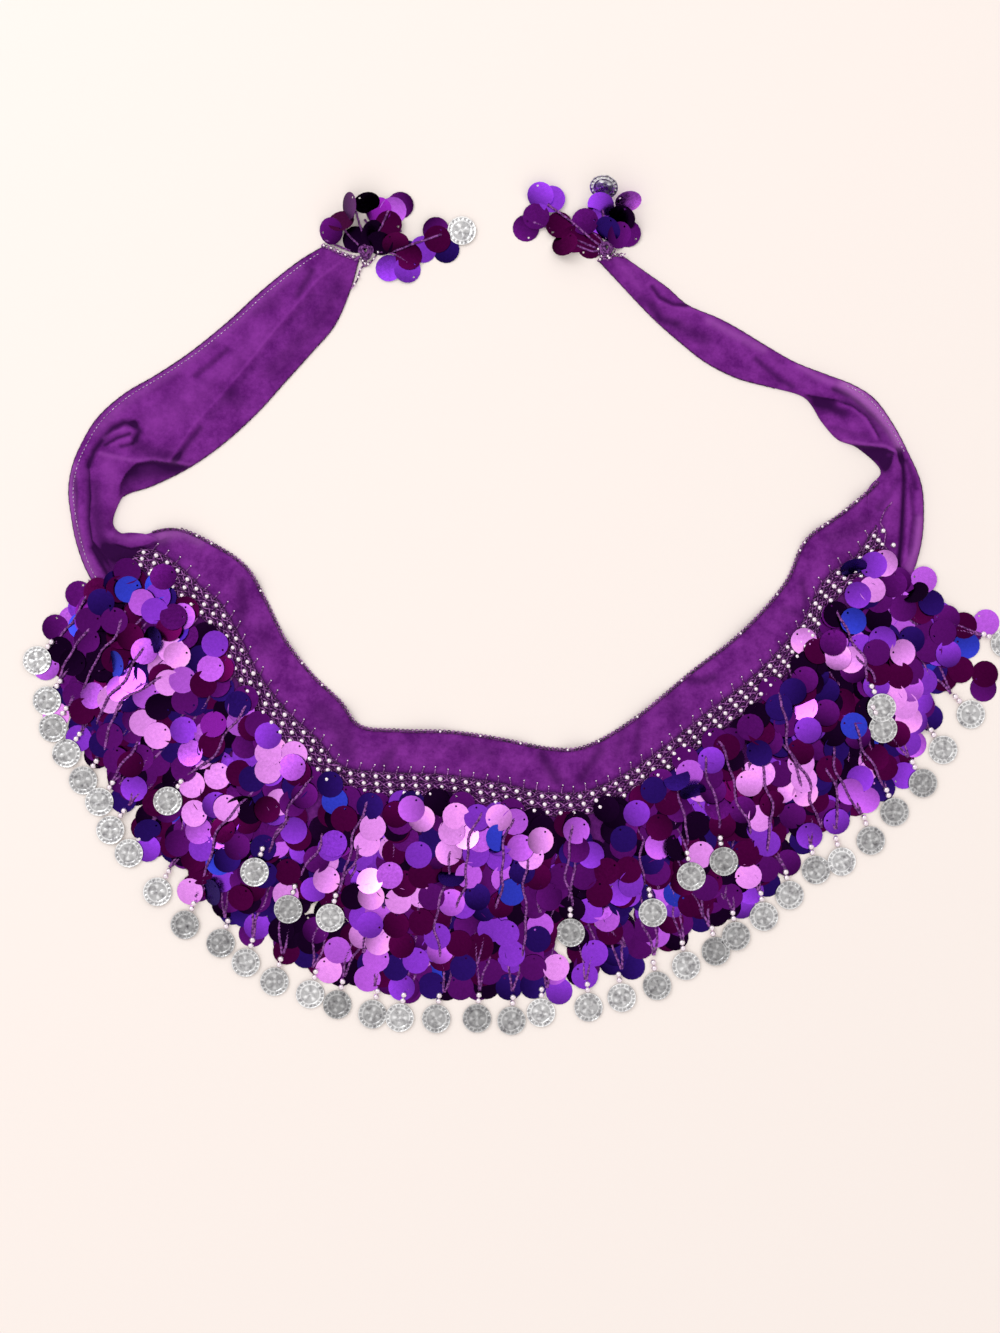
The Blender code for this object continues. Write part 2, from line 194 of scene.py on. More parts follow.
# A mark is a crease or fold placed along points in mm. A soft one lifts or sinks the
# cloth on both sides. A fold is the edge of an upper layer, which lies to the left of its
# points and drops off on the right. Shade is painted shade in creases, pockets and below fold
# edges, deeper where layers lie close; negative shade is a painted highlight, and thin lets the floor
# through where there is one layer.
Mark = namedtuple("Mark", "kind width lift shade thin points")
MARKS = [
    # Panel, from left to right
    Mark("fold", 9, 1.2, 0.7, 0.0, [(-291, 44), (-277, 40), (-267, 42), (-259, 45), (-246, 49)]),
    Mark("soft", 4, 0.0, -0.2, 0.4, [(-256, 48), (-247, 50), (-238, 50), (-229, 45)]),
    Mark("soft", 5, -0.8, 0.5, 0.0, [(-200, 16), (-199, 0), (-203, -13)]),
    Mark("soft", 8, 0.5, 0.3, 0.0, [(-185, -16), (-183, -28)]),
    Mark("soft", 9, 0.6, 0.45, 0.0, [(-144, -74), (-131, -86), (-127, -100)]),
    Mark("soft", 5, -0.6, 0.6, 0.0, [(-90, -96), (-95, -103), (-100, -112)]),
    Mark("soft", 6, 0.8, 0.35, 0.0, [(-81, -94), (-71, -98), (-50, -100), (-25, -103)]),
    Mark("soft", 6, 1.0, -0.4, 0.0, [(-112, -92), (-101, -94), (-91, -92)]),
    Mark("soft", 9, 0.8, -0.35, 0.0, [(-87, -102), (-71, -102), (-51, -107)]),
    Mark("soft", 4, -0.7, 0.65, 0.0, [(10, -104), (16, -115), (21, -122)]),
    Mark("soft", 4, -0.7, 0.6, 0.0, [(51, -101), (43, -112), (38, -121)]),
    Mark("soft", 7, 1.3, -0.3, 0.0, [(26, -104), (33, -108), (38, -106)]),
    Mark("soft", 3, -0.4, 0.45, 0.0, [(78, -80), (77, -92), (76, -102)]),
    Mark("soft", 4, 0.6, 0.3, 0.0, [(67, -88), (63, -102)]),
    Mark("soft", 3, -0.5, 0.6, 0.0, [(114, -52), (124, -53), (131, -50)]),
    Mark("soft", 7, 0.6, 0.3, 0.0, [(100, -66), (103, -74)]),
    Mark("soft", 3, -0.5, 0.5, 0.0, [(192, 16), (195, 4), (193, -6)]),
    Mark("soft", 3, 0.5, 0.4, 0.0, [(179, -3), (187, -5)]),
    Mark("soft", 6, 0.9, -0.3, 0.0, [(140, -32), (160, -14), (170, 0)]),
    Mark("soft", 5, 0.9, 0.35, 0.0, [(212, 48), (224, 52), (236, 60)]),
    Mark("soft", 4, 0.8, -0.4, 0.0, [(225, 66), (238, 78)]),
    # Wide tie: the long middle crease, mottles and short creases of its flat stretch
    Mark("soft", 1.3, 0.8, -0.3, 0, [(-132, 239), (-146, 228), (-171, 199), (-202, 161),
        (-233, 126), (-250, 101)]),
    Mark("soft", 2.6, -0.5, 0.7, 0, [(-247, 100), (-238, 113), (-229, 124)]),
    Mark("soft", 4, -0.5, 0.35, 0, [(-222, 133), (-200, 158), (-188, 174)]),
    Mark("soft", 3, -0.4, 0.3, 0, [(-181, 182), (-169, 196), (-150, 217)]),
    Mark("soft", 2.6, -0.7, 0.65, 0, [(-210, 179), (-220, 170), (-232, 161)]),
    Mark("soft", 3.2, -0.5, 0.6, 0, [(-151, 234), (-156, 225), (-160, 218)]),
    Mark("soft", 12, 1.0, -0.3, 0, [(-184, 190), (-205, 170), (-240, 140), (-262, 128)]),
    Mark("soft", 9, 0.3, 0.35, 0, [(-133, 222), (-150, 195), (-178, 165)]),
    Mark("soft", 7, -0.4, 0.4, 0, [(-213, 152), (-203, 143)]),
    Mark("soft", 5, 0.3, 0.35, 0, [(-176, 212), (-190, 205)]),
    Mark("soft", 4, 0.0, -0.2, 0.12, [(-160, 237), (-200, 202), (-250, 163), (-282, 142), (-302, 122)]),
    # Its bend: the ruffle in painted shade, the lip over the layer below with its painted shadow, and the
    # ridges of the gather
    Mark("soft", 2.4, -1.2, 1.0, 0, [(-306, 98), (-303, 108), (-297, 116), (-290, 124), (-282, 128),
        (-275, 127)]),
    Mark("soft", 2.6, -1.0, 1.0, 0, [(-275, 127), (-271, 122), (-274, 116)]),
    Mark("soft", 1.3, 0.8, -0.5, 0.05, [(-296, 117), (-289, 121), (-282, 123)]),
    Mark("soft", 1.5, -0.7, 0.9, 0, [(-295, 112), (-287, 117), (-278, 120)]),
    Mark("soft", 1.2, 0.6, -0.4, 0, [(-291, 112), (-284, 115), (-278, 116)]),
    Mark("soft", 1.4, -0.6, 0.7, 0, [(-284, 111), (-276, 113)]),
    Mark("soft", 6, 0.2, 0.5, 0, [(-272, 111), (-260, 106), (-246, 104)]),
    Mark("fold", 9, 2.4, 0.95, 0, [(-285, 72), (-284, 84), (-280, 92), (-273, 99), (-262, 101),
        (-249, 99), (-236, 97), (-222, 102)]),
    Mark("soft", 1.6, 0.4, -0.35, 0.1, [(-298, 106), (-286, 103), (-274, 101), (-262, 102),
        (-247, 100), (-234, 98)]),
    Mark("soft", 7, -0.6, 0.55, 0, [(-273, 92), (-261, 92), (-247, 95)]),
    Mark("soft", 9, 2.2, -0.1, 0, [(-291, 100), (-293, 84), (-294, 67), (-293, 52)]),
    Mark("soft", 6, 0.3, -0.35, 0, [(-293, 98), (-289, 86), (-289, 72)]),
    Mark("soft", 5, 0.0, 0.5, 0, [(-301, 84), (-301, 66), (-298, 46), (-289, 32)]),
    Mark("fold", 5, 1.9, 1.0, 0, [(-307, 106), (-305, 92), (-304, 75), (-305, 60), (-303, 45),
        (-294, 33), (-288, 20)]),
    Mark("soft", 12, 0.0, 0.3, 0, [(-288, 74), (-293, 55), (-289, 42)]),
    Mark("soft", 5, 1.2, -0.15, 0, [(-311, 84), (-311, 60), (-306, 40), (-297, 22), (-288, 10)]),
    Mark("soft", 1.8, -0.8, 0.8, 0, [(-317, 92), (-315, 78), (-315, 56), (-311, 38)]),
    Mark("soft", 2.0, -0.9, 0.9, 0, [(-303, 40), (-296, 26), (-288, 12)]),
    Mark("soft", 5, -0.8, 1.0, 0, [(-293, 38), (-281, 34), (-270, 36)]),
    Mark("soft", 4, 0.2, -0.2, 0.35, [(-319, 98), (-320, 80), (-318, 60), (-313, 40), (-305, 22)]),
    Mark("soft", 3, 1.0, -0.4, 0.1, [(-290, 49), (-279, 46), (-267, 48), (-252, 51)]),
    # Rolled tie: its tip, the folded stretch and its pale upper band, a painted highlight on a thinner layer
    Mark("soft", 3, 1.2, -0.35, 0, [(57, 246), (73, 228), (83, 213)]),
    Mark("soft", 1.8, -1.2, 0.85, 0, [(87, 222), (92, 215), (102, 210), (111, 210)]),
    Mark("soft", 2.2, 1.0, -0.3, 0, [(84, 223), (92, 211), (107, 206), (121, 206)]),
    Mark("soft", 3.6, -0.9, 0.7, 0, [(80, 215), (87, 209), (93, 200), (103, 197)]),
    Mark("soft", 3, 0.5, -0.35, 0.25, [(127, 199), (147, 188), (165, 179)]),
    Mark("soft", 5, -0.4, 0.45, 0, [(108, 194), (124, 186)]),
    Mark("soft", 2.2, -0.9, 0.6, 0, [(160, 172), (176, 158), (185, 153)]),
    Mark("soft", 3.2, 1.1, -0.25, 0, [(170, 171), (184, 160), (196, 153)]),
    Mark("soft", 2.6, 1.0, -0.55, 0.2, [(190, 167), (203, 159), (216, 154), (233, 150)]),
    # Its twist: a thin outer layer, the upper layers, and the pockets between them in painted shade
    Mark("soft", 4.2, -0.6, -0.3, 1.0, [(222, 155), (234, 146), (245, 136), (254, 125), (260, 114)]),
    Mark("soft", 2.4, -1.0, 0.9, 0, [(214, 151), (226, 147), (238, 137), (249, 126), (257, 116),
        (261, 102)]),
    Mark("fold", 5, 1.2, 1.0, 0, [(192, 148), (204, 145), (218, 143)]),
    Mark("fold", 6, 1.6, 1.0, 0, [(247, 112), (242, 121), (236, 131), (227, 138), (214, 143)]),
    Mark("soft", 1.4, 0.5, -0.4, 0, [(243, 116), (237, 127), (229, 135), (217, 140)]),
    Mark("soft", 4.5, -0.8, 0.9, 0, [(202, 141), (211, 138), (220, 134)]),
    Mark("soft", 3, -0.3, 0.35, 0, [(214, 124), (225, 121), (236, 118)]),
    Mark("soft", 6, 1.0, -0.2, 0, [(212, 132), (222, 127), (232, 124)]),
    Mark("fold", 6, 1.8, 1.3, 0, [(221, 113), (236, 111), (250, 109), (255, 106), (253, 99), (249, 92)]),
    Mark("soft", 1.5, 0.5, -0.45, 0.1, [(221, 115), (236, 112), (249, 111), (257, 107)]),
    Mark("soft", 4.5, -0.6, 1.1, 0, [(239, 106), (247, 103), (250, 97)]),
    Mark("soft", 1.9, -1.8, 1.1, 0, [(259, 108), (262, 97), (263, 86), (262, 65), (261, 45), (259, 26)]),
    Mark("soft", 2.0, -1.0, 0.8, 0, [(265, 101), (269, 90), (271, 82)]),
    Mark("soft", 1.5, -0.8, 0.5, 0, [(267, 84), (270, 62), (267, 36)]),
    Mark("soft", 2.6, -0.8, 0.5, 0, [(258, 88), (252, 76), (245, 68)]),
    Mark("soft", 3.0, 1.6, -0.35, 0, [(268, 99), (273, 83), (275, 64), (271, 36)]),
    Mark("soft", 2.2, 1.2, -0.3, 0, [(265, 84), (266, 62), (263, 30)]),
    Mark("soft", 4.2, 1.4, -0.3, 0, [(254, 104), (257, 89), (253, 72)]),
    Mark("soft", 3, 0.2, -0.2, 0.4, [(274, 60), (272, 42), (267, 26)]),
]
PANEL_ALONG = 440
PANEL_ACROSS = 44
CLOTH_TOP = 0.6
CLOTH_WALL = 0.45
FOLD_EDGE = 0.7
CRINKLE = 0.5

CHIFFON = (0.108, 0.007, 0.160)
CHIFFON_LIGHT = (0.215, 0.026, 0.295)
# Painted highlight on ridges and lips, and painted shade in creases, pockets and under folds
CHIFFON_HIGHLIGHT = (0.29, 0.045, 0.38)
CHIFFON_SHADE = (0.030, 0.001, 0.050)
CHIFFON_SINGLE = (0.46, 0.13, 0.55)
# How far the cloth covers what lies below it, doubled and in one layer
CHIFFON_COVER = (0.98, 0.66)
THREAD_PITCH = 0.9


def smooth(values, at):
    """The value at row number at of a column, on a smooth curve through its rows."""
    last = len(values) - 1
    i = min(max(int(at), 0), last - 1)
    u = at - i
    before, a, b, after = (values[min(max(i + k, 0), last)] for k in (-1, 0, 1, 2))
    slope = (b - before) * u
    bend = (2 * before - 5 * a + 4 * b - after) * u**2
    twist = (3 * a - before - 3 * b + after) * u**3
    return 0.5 * (2 * a + slope + bend + twist)


def column(table, x, y):
    return [Vector((getattr(row, x), getattr(row, y))) for row in table]


TOPS = column(PANEL, "top_x", "top_y")
HEMS = column(PANEL, "hem_x", "hem_y")
COINS = column(PANEL, "coin_x", "coin_y")


def depth_at(section):
    return (smooth(HEMS, section) - smooth(TOPS, section)).length


def drop_at(section):
    return (smooth(COINS, section) - smooth(HEMS, section)).length


def panel_point(section, reach):
    """A point in plan, reach below the panel's top edge, and past the hem towards the coins."""
    top, hem = smooth(TOPS, section), smooth(HEMS, section)
    depth = (hem - top).length
    if reach <= depth:
        return top.lerp(hem, reach / depth)
    towards = (smooth(COINS, section) - hem).normalized()
    return hem + towards * (reach - depth)


def net_start(section):
    return float(np.interp(section, [n.section for n in NET], [n.start for n in NET]))


def bump(distance, spread):
    """A soft hill, 1 in the middle and 0 at its spread."""
    return math.cos(min(abs(distance / spread), 1) * math.pi / 2) ** 2


def ripple_lift(section, reach):
    fade = max(0, 1 - reach / net_start(section))
    return fade * max(r.height * bump(section - r.section, r.spread) for r in RIPPLES)


def nearest(points, plan):
    """For each place in plan: its distance to a line of points, which side it lies on, and how
    far along the line its nearest point is, from 0 to 1."""
    line = np.array(points, float)
    steps = np.diff(line, axis=0)
    lengths = np.hypot(*steps.T)
    starts = np.concatenate([[0], np.cumsum(lengths)])
    best = np.full(len(plan), 1e9)
    side = np.ones(len(plan))
    along = np.zeros(len(plan))
    for start, step, length, before in zip(line, steps, lengths, starts):
        away = plan - start
        t = np.clip(away @ step / length**2, 0, 1)
        off = away - t[:, None] * step
        distance = np.hypot(*off.T)
        closer = distance < best
        best[closer] = distance[closer]
        side[closer] = np.sign(step[0] * away[:, 1] - step[1] * away[:, 0])[closer]
        along[closer] = (before + t * length)[closer]
    return best, side, along / starts[-1]


def marked(plan):
    """Lift in mm, shade and thinness at each place in plan, from all the marks."""
    lift, shade, thin = np.zeros((3, len(plan)))
    for mark in MARKS:
        distance, side, along = nearest(mark.points, plan)
        near = np.exp(-((distance / mark.width) ** 2))
        if mark.kind == "soft":
            lift += mark.lift * near
            shade += mark.shade * near
            thin += mark.thin * near
            continue
        ends = np.clip(np.minimum(along, 1 - along) / 0.15, 0, 1)
        above = np.exp(-distance / mark.width)
        edge = np.exp(-((distance / FOLD_EDGE) ** 2))
        below = np.exp(-distance / (mark.width * 0.6))
        left = side > 0
        lift += mark.lift * ends * np.where(left, above, edge)
        # Painted shadow below the fold's edge, and a little painted shade along it on the upper layer
        shade += mark.shade * ends * np.where(left, edge * 0.4, below)
        thin += mark.thin * ends * np.where(left, 0, below)
    return lift, shade, thin


def rumple(plan, size, height):
    """Uneven small waves, size mm apart."""
    return np.array([noise.noise(Vector((x / size, y / size, size))) for x, y in plan]) * height


def plain_mesh(name, points, faces, attributes=(), edges=()):
    """A mesh from points in mm, with a named attribute for each array given."""
    mesh = bpy.data.meshes.new(name)
    mesh.from_pydata(np.asarray(points) * MM, edges, faces)
    for label, kind, values in attributes:
        field = "value" if kind == "FLOAT" or kind == "INT" else "vector"
        field = "color" if kind == "FLOAT_COLOR" else field
        layer = mesh.attributes.new(label, kind, "POINT")
        layer.data.foreach_set(field, np.ascontiguousarray(values).ravel())
    return mesh


def run_along(line):
    """How far along a line of points each one lies, measured in plan."""
    steps = np.diff(np.array(line)[:, :2], axis=0)
    return np.concatenate([[0], np.cumsum(np.hypot(*steps.T))])


def cloth(name, grid, shade, thin, material):
    """A thin shell of cloth, its upper side on a grid of points in mm, one row a section."""
    rows, across = grid.shape[:2]
    corner = np.arange(rows * across).reshape(rows, across)
    quads = np.stack(
        [corner[:-1, :-1], corner[1:, :-1], corner[1:, 1:], corner[:-1, 1:]], axis=-1
    ).reshape(-1, 4)
    points = grid.reshape(-1, 3)
    a, b, c = points[quads[0, 0]], points[quads[0, 1]], points[quads[0, 2]]
    if np.cross(b - a, c - b)[2] < 0:
        quads = quads[:, ::-1]
    attributes = [("shade", "FLOAT", shade.ravel()), ("thin", "FLOAT", thin.ravel())]
    mesh = plain_mesh(name, points, quads.tolist(), attributes)
    # The threads run along and across the cloth, so its map is measured in mm on the cloth
    run = run_along(grid[:, across // 2])
    steps_across = np.hypot(*np.moveaxis(np.diff(grid[:, :, :2], axis=1), -1, 0))
    down = np.concatenate([np.zeros((rows, 1)), np.cumsum(steps_across, axis=1)], axis=1)
    weave = np.stack([np.repeat(run[:, None], across, axis=1), down], axis=-1).reshape(-1, 2)
    layer = mesh.uv_layers.new(name="weave")
    corners = np.empty(len(mesh.loops), int)
    mesh.loops.foreach_get("vertex_index", corners)
    layer.data.foreach_set("uv", weave[corners].ravel())
    mesh.materials.append(material)
    mesh.shade_smooth()
    obj = place(name, mesh)
    wall = obj.modifiers.new("wall", "SOLIDIFY")
    wall.thickness = CLOTH_WALL * MM
    wall.offset = -1
    return obj


# Chiffon: fine crossed threads, slow and crepe-like changes of tone, painted shade in creases
# and under folds, deeper where layers lie close, painted highlights on ridges, and paler and
# thinner where there is one layer
chiffon, tree, shader = new_material("purple chiffon", Roughness=0.7, Specular_IOR_Level=0.06)
weave = add(tree, "ShaderNodeUVMap", {"uv_map": "weave"}).outputs[0]
here = add(tree, "ShaderNodeTexCoord").outputs["Object"]
turns = 2 * math.pi / THREAD_PITCH
threads = add(tree, "ShaderNodeVectorMath", {"operation": "SCALE"}, i0=weave, Scale=turns)
threads = add(tree, "ShaderNodeVectorMath", {"operation": "SINE"}, i0=threads.outputs[0])
threads = add(tree, "ShaderNodeSeparateXYZ", i0=threads.outputs[0]).outputs
crossing = reckon(tree, "MULTIPLY", threads[0], threads[1])
clouds = add(tree, "ShaderNodeTexNoise", Vector=here, Scale=62.0, Detail=6.0, Roughness=0.7)
crepe = add(tree, "ShaderNodeTexNoise", Vector=here, Scale=420.0, Detail=3.0, Roughness=0.7)
clouds = ranged(tree, clouds.outputs[0], 0.36, 0.66)
crepe = ranged(tree, crepe.outputs[0], 0.3, 0.7, -0.2, 0.2)
mottle = reckon(tree, "ADD", clouds, crepe, clamp=True)
shade, thin = attribute(tree, "shade"), attribute(tree, "thin")
# Negative shade mixes in the painted highlight, positive shade the painted shade
lighter = reckon(tree, "MULTIPLY", shade, -1.0, clamp=True)
deeper = reckon(tree, "MULTIPLY", shade, 1.0, clamp=True)
colour = (*CHIFFON, 1)
tones = (mottle, CHIFFON_LIGHT), (lighter, CHIFFON_HIGHLIGHT), (deeper, CHIFFON_SHADE), (thin, CHIFFON_SINGLE)
for share, tone in tones:
    colour = blend(tree, share, colour, (*tone, 1))
tree.links.new(colour, shader.inputs["Base Color"])
tree.links.new(ranged(tree, thin, 0.0, 1.0, *CHIFFON_COVER), shader.inputs["Alpha"])
height = reckon(tree, "MULTIPLY_ADD", crossing, 0.4, mottle)
relief = add(tree, "ShaderNodeBump", Strength=0.5, Distance=0.25 * MM, Height=height)
tree.links.new(relief.outputs[0], shader.inputs["Normal"])

grid = np.zeros((PANEL_ALONG + 1, PANEL_ACROSS + 1, 3))
under_net = np.zeros(grid.shape[:2])
for i in range(PANEL_ALONG + 1):
    section = LAST_SECTION * i / PANEL_ALONG
    depth, start = depth_at(section), net_start(section)
    for j in range(PANEL_ACROSS + 1):
        # The points stand closer in the top band, which shows, than under the fringe
        reach = depth * (j / PANEL_ACROSS) ** 1.35
        point = panel_point(section, reach)
        grid[i, j] = (*point, ripple_lift(section, reach))
        below = reach - start
        # Painted shade on the cloth under the net, fading out just above it, and a lighter painted shade
        # under the fringe below
        under_net[i, j] = 0.5 * bump(min(below - 1, 0),
            3) * (below < NET_DEPTH) + 0.35 * (below >= NET_DEPTH)
plan = grid[:, :, :2].reshape(-1, 2)
lift, shade, thin = marked(plan)
lift += rumple(plan, 14, CRINKLE) + rumple(plan, 5, CRINKLE / 3)
grid[:, :, 2] = np.maximum(grid[:, :, 2] + lift.reshape(under_net.shape), 0) + CLOTH_TOP
shade = np.maximum(shade.reshape(under_net.shape), under_net)
panel_piece = cloth("panel_cloth", grid, shade, thin.reshape(under_net.shape), chiffon)
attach(panel_piece, "root")
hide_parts("hip_panel")
panel_grid = grid

# How high the cloth and fringe have piled up, in mm, on a grid of one cell a millimetre
PILE_CORNER = (-360, -320)
PILE_SIZE = (730, 640)
LAYER = 0.12
pile = np.zeros(PILE_SIZE)


def pile_at(x, y):
    return pile[int(round(x - PILE_CORNER[0])), int(round(y - PILE_CORNER[1]))]


def raise_pile(grid):
    """Raises the pile to a cloth's upper side."""
    cells = np.rint(grid[:, :, :2].reshape(-1, 2) - PILE_CORNER).astype(int)
    for step in ((0, 0), (0, 1), (1, 0), (-1, 0), (0, -1)):
        np.maximum.at(pile, tuple((cells + step).T), grid[:, :, 2].ravel())


raise_pile(panel_grid)

# The panel's ends go on into the ties. The wide tie lies flat and is gathered round its bend,
# and the rolled tie is twisted on itself. Their edges run through these folds, from the tip to
# the panel, in mm, and a heap is how high the layers of cloth lie there.
Fold = namedtuple("Fold", "outer_x outer_y inner_x inner_y heap")
WIDE_TIE = [
    Fold(-143, 251, -118, 242, 1.0),
    Fold(-161, 240, -124, 221, 0.5),
    Fold(-186, 220, -135, 196, 0.3),
    Fold(-210, 198, -152, 176, 0.3),
    Fold(-236, 177, -170, 156, 0.3),
    Fold(-260, 161, -189, 135, 0.5),
    Fold(-282, 148, -212, 114, 1.0),
    Fold(-301, 131, -236, 97, 1.6),
    Fold(-313, 111, -262, 84, 2.6),
    Fold(-319, 95, -280, 78, 3.4),
    Fold(-321, 79, -286, 71, 4.0),
    Fold(-319, 62, -290, 58, 4.0),
    Fold(-316, 46, -285, 51, 3.6),
    Fold(-310, 28, -278, 51, 3.0),
    Fold(-301, 11, -268, 50, 2.0),
    Fold(-296, 2, -258, 46, 0.8),
]
ROLLED_TIE = [
    Fold(67, 244, 50, 241, 3.6),
    Fold(84, 232, 65, 225, 3.8),
    Fold(98, 222, 79, 210, 3.6),
    Fold(112, 210, 91, 198, 3.2),
    Fold(133, 201, 107, 184, 2.8),
    Fold(148, 193, 125, 170, 2.2),
    Fold(166, 182, 147, 159, 2.2),
    Fold(187, 170, 173, 152, 2.8),
    Fold(210, 161, 194, 145, 3.6),
    Fold(228, 154, 206, 128, 4.0),
    Fold(243, 144, 217, 116, 4.2),
    Fold(256, 126, 231, 110, 4.4),
    Fold(266, 107, 247, 94, 4.4),
    Fold(275, 86, 238, 80, 4.2),
    Fold(277, 65, 240, 54, 3.6),
    Fold(275, 42, 249, 28, 3.0),
    Fold(267, 14, 258, 6, 2.0),
]
# Long creases of the wide tie's flat stretch: where they stand across it and how high, in mm
Crease = namedtuple("Crease", "across spread height")
TIE_CREASES = [Crease(0.12, 0.10, 0.7), Crease(0.42, 0.14, 1.1), Crease(0.72, 0.12, 0.9)]
FLAT_UNTIL = 7
# The last folds lie on the panel, and their inner side rises slowly from it
ON_PANEL = 4
TIE_STEP = 1.0


def tie_grid(rows):
    """A tie's upper side in mm, a line of points across it for each step along it."""
    outer, inner = column(rows, "outer_x", "outer_y"), column(rows, "inner_x", "inner_y")
    heaps = [row.heap for row in rows]
    long = sum((b - a).length for a, b in zip(outer, outer[1:]))
    wide = max((a - b).length for a, b in zip(outer, inner))
    along, across = round(long / TIE_STEP), round(wide / TIE_STEP)
    grid = np.zeros((along + 1, across + 1, 3))
    edge = np.sin(np.pi * np.arange(across + 1) / across)
    for i in range(along + 1):
        at = (len(rows) - 1) * i / along
        a, b, heap = (smooth(values, at) for values in (outer, inner, heaps))
        flat = max(0, min(1, at, FLAT_UNTIL - at)) if rows is WIDE_TIE else 0
        for j in range(across + 1):
            u = j / across
            crease = flat * sum(c.height * bump(u - c.across, c.spread) for c in TIE_CREASES)
            slow = max(0, at - (len(rows) - 1 - ON_PANEL)) / ON_PANEL if u > 0.5 else 0
            grid[i, j] = (*a.lerp(b, u), heap * max(edge[j], 0) ** (0.5 + slow) + crease)
    plan = grid[:, :, :2].reshape(-1, 2)
    lift, shade, thin = marked(plan)
    lift += rumple(plan, 14, CRINKLE) + rumple(plan, 5, CRINKLE / 3)
    shape = grid.shape[:2]
    grid[:, :, 2] += lift.reshape(shape) * np.clip(edge * 5, 0, 1)
    under = np.array([pile_at(*p) for p in plan]).reshape(shape)
    grid[:, :, 2] = np.maximum(np.maximum(grid[:, :, 2], 0) + CLOTH_TOP, under + LAYER)
    return grid, shade.reshape(shape), thin.reshape(shape)


def tie(name, rows, nodes):
    grid, shade, thin = tie_grid(rows)
    piece = cloth(name, grid, shade, thin, chiffon)
    raise_pile(grid)
    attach(piece, "root")
    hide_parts(*nodes)
    return grid


wide_grid = tie("wide_tie", WIDE_TIE, ("left_tie", "left_gather"))
rolled_grid = tie(
    "rolled_tie",
    ROLLED_TIE,
    ("right_tie_tip", "right_tie", "right_twist", "right_gather"),
)

# The bead net is crocheted thread, near black with lilac stitches. Four lengthwise cords carry
# three rows of eyes with a silver bead in each, and picots with tiny tip beads stand above the
# first row. It is sewn on along the panel.
CORD_REACHES = (0.8, 6.2, 11.6, 16.6)
BEAD_ROWS = {3.4: 0.0, 8.9: 0.25, 14.2: 0.5}
BEAD_PITCH = 9.1
BEAD_SIZE = 3.8
EYE_SPREAD = 2.1
PICOT_TALL = 5.0
PICOT_BEAD = 1.2
NET_SECTIONS = (0.42, 19.88)
NET_CORD = 0.8
NET_THREAD = 0.5
NET_LIE = CLOTH_TOP + 1.0
CORD_LOBES = 3
CORD_GROOVE = 0.62
BEAD_SIDES = (10, 7)
SHARP = math.radians(50)

# Thread colours: each one's dark colour and the colour of its painted highlight flecks
CROCHET_DEEP = (0.012, 0.001, 0.018)
CROCHET_HIGHLIGHT = (0.20, 0.03, 0.24)
PLUM_DEEP = (0.055, 0.004, 0.075)
PLUM_HIGHLIGHT = (0.46, 0.15, 0.52)
STITCH_DEEP = (0.30, 0.12, 0.36)
STITCH_HIGHLIGHT = (0.85, 0.70, 0.90)
SILVER = (0.90, 0.80, 0.88)
TARNISH = (0.16, 0.15, 0.17)


def new_tree(name, **sizes):
    """A Geometry Nodes tree with a geometry input, named inputs and a geometry output."""
    made = bpy.data.node_groups.new(name, "GeometryNodeTree")
    for label, kind in {"Geometry": "Geometry", **sizes, "Material": "Material"}.items():
        made.interface.new_socket(label, in_out="INPUT", socket_type=f"NodeSocket{kind}")
    made.interface.new_socket("Geometry", in_out="OUTPUT", socket_type="NodeSocketGeometry")
    return made, made.nodes.new("NodeGroupInput").outputs, made.nodes.new("NodeGroupOutput").inputs


def finish_tree(tree, sources, result, shape):
    """Ends a tree: instances are realized, smoothed and given the material."""
    real = add(tree, "GeometryNodeRealizeInstances", i0=shape)
    even = add(tree, "GeometryNodeSetShadeSmooth", i0=real.outputs[0])
    done = add(tree, "GeometryNodeSetMaterial", i0=even.outputs[0], Material=sources["Material"])
    tree.links.new(done.outputs[0], result[0])


def grown(name, mesh, tree, **values):
    """An object whose mesh is what a tree makes of the given one."""
    obj = place(name, mesh)
    modifier = obj.modifiers.new(tree.name, "NODES")
    modifier.node_group = tree
    for item in tree.interface.items_tree:
        label = item.name.replace(" ", "_")
        if item.in_out == "INPUT" and label in values:
            modifier[item.identifier] = values[label]
    graph = bpy.context.evaluated_depsgraph_get()
    obj.data = bpy.data.meshes.new_from_object(obj.evaluated_get(graph), depsgraph=graph)
    obj.modifiers.remove(modifier)
    obj.data.name = name
    return obj


# Twisted cord: a lobed outline turned as it runs along each line of points
cord_tree, given, result = new_tree("twisted cord", Radius="Float", Step="Float", Turn="Float")
lines = add(cord_tree, "GeometryNodeMeshToCurve", i0=given["Geometry"]).outputs[0]
evenly = {"mode": "LENGTH"}
lines = add(cord_tree, "GeometryNodeResampleCurve", evenly, i0=lines, Length=given["Step"]).outputs[0]
far = add(cord_tree, "GeometryNodeSplineParameter").outputs["Length"]
turned = reckon(cord_tree, "MULTIPLY", far, given["Turn"])
lines = add(cord_tree, "GeometryNodeSetCurveTilt", i0=lines, Tilt=turned).outputs[0]
inner = reckon(cord_tree, "MULTIPLY", given["Radius"], CORD_GROOVE)
outline = add(
    cord_tree, "GeometryNodeCurveStar", Points=CORD_LOBES, Inner_Radius=inner, Outer_Radius=given["Radius"]
).outputs["Curve"]
swept = add(cord_tree, "GeometryNodeCurveToMesh", Curve=lines, Profile_Curve=outline, Fill_Caps=True)
finish_tree(cord_tree, given, result, swept.outputs[0])

# Strung pieces: one of a set of small pieces at each point, turned and sized by its attributes
strung_tree, given, result = new_tree("strung pieces", Pieces="Collection")
pieces = add(
    strung_tree,
    "GeometryNodeCollectionInfo",
    Collection=given["Pieces"],
    Separate_Children=True,
    Reset_Children=True,
)


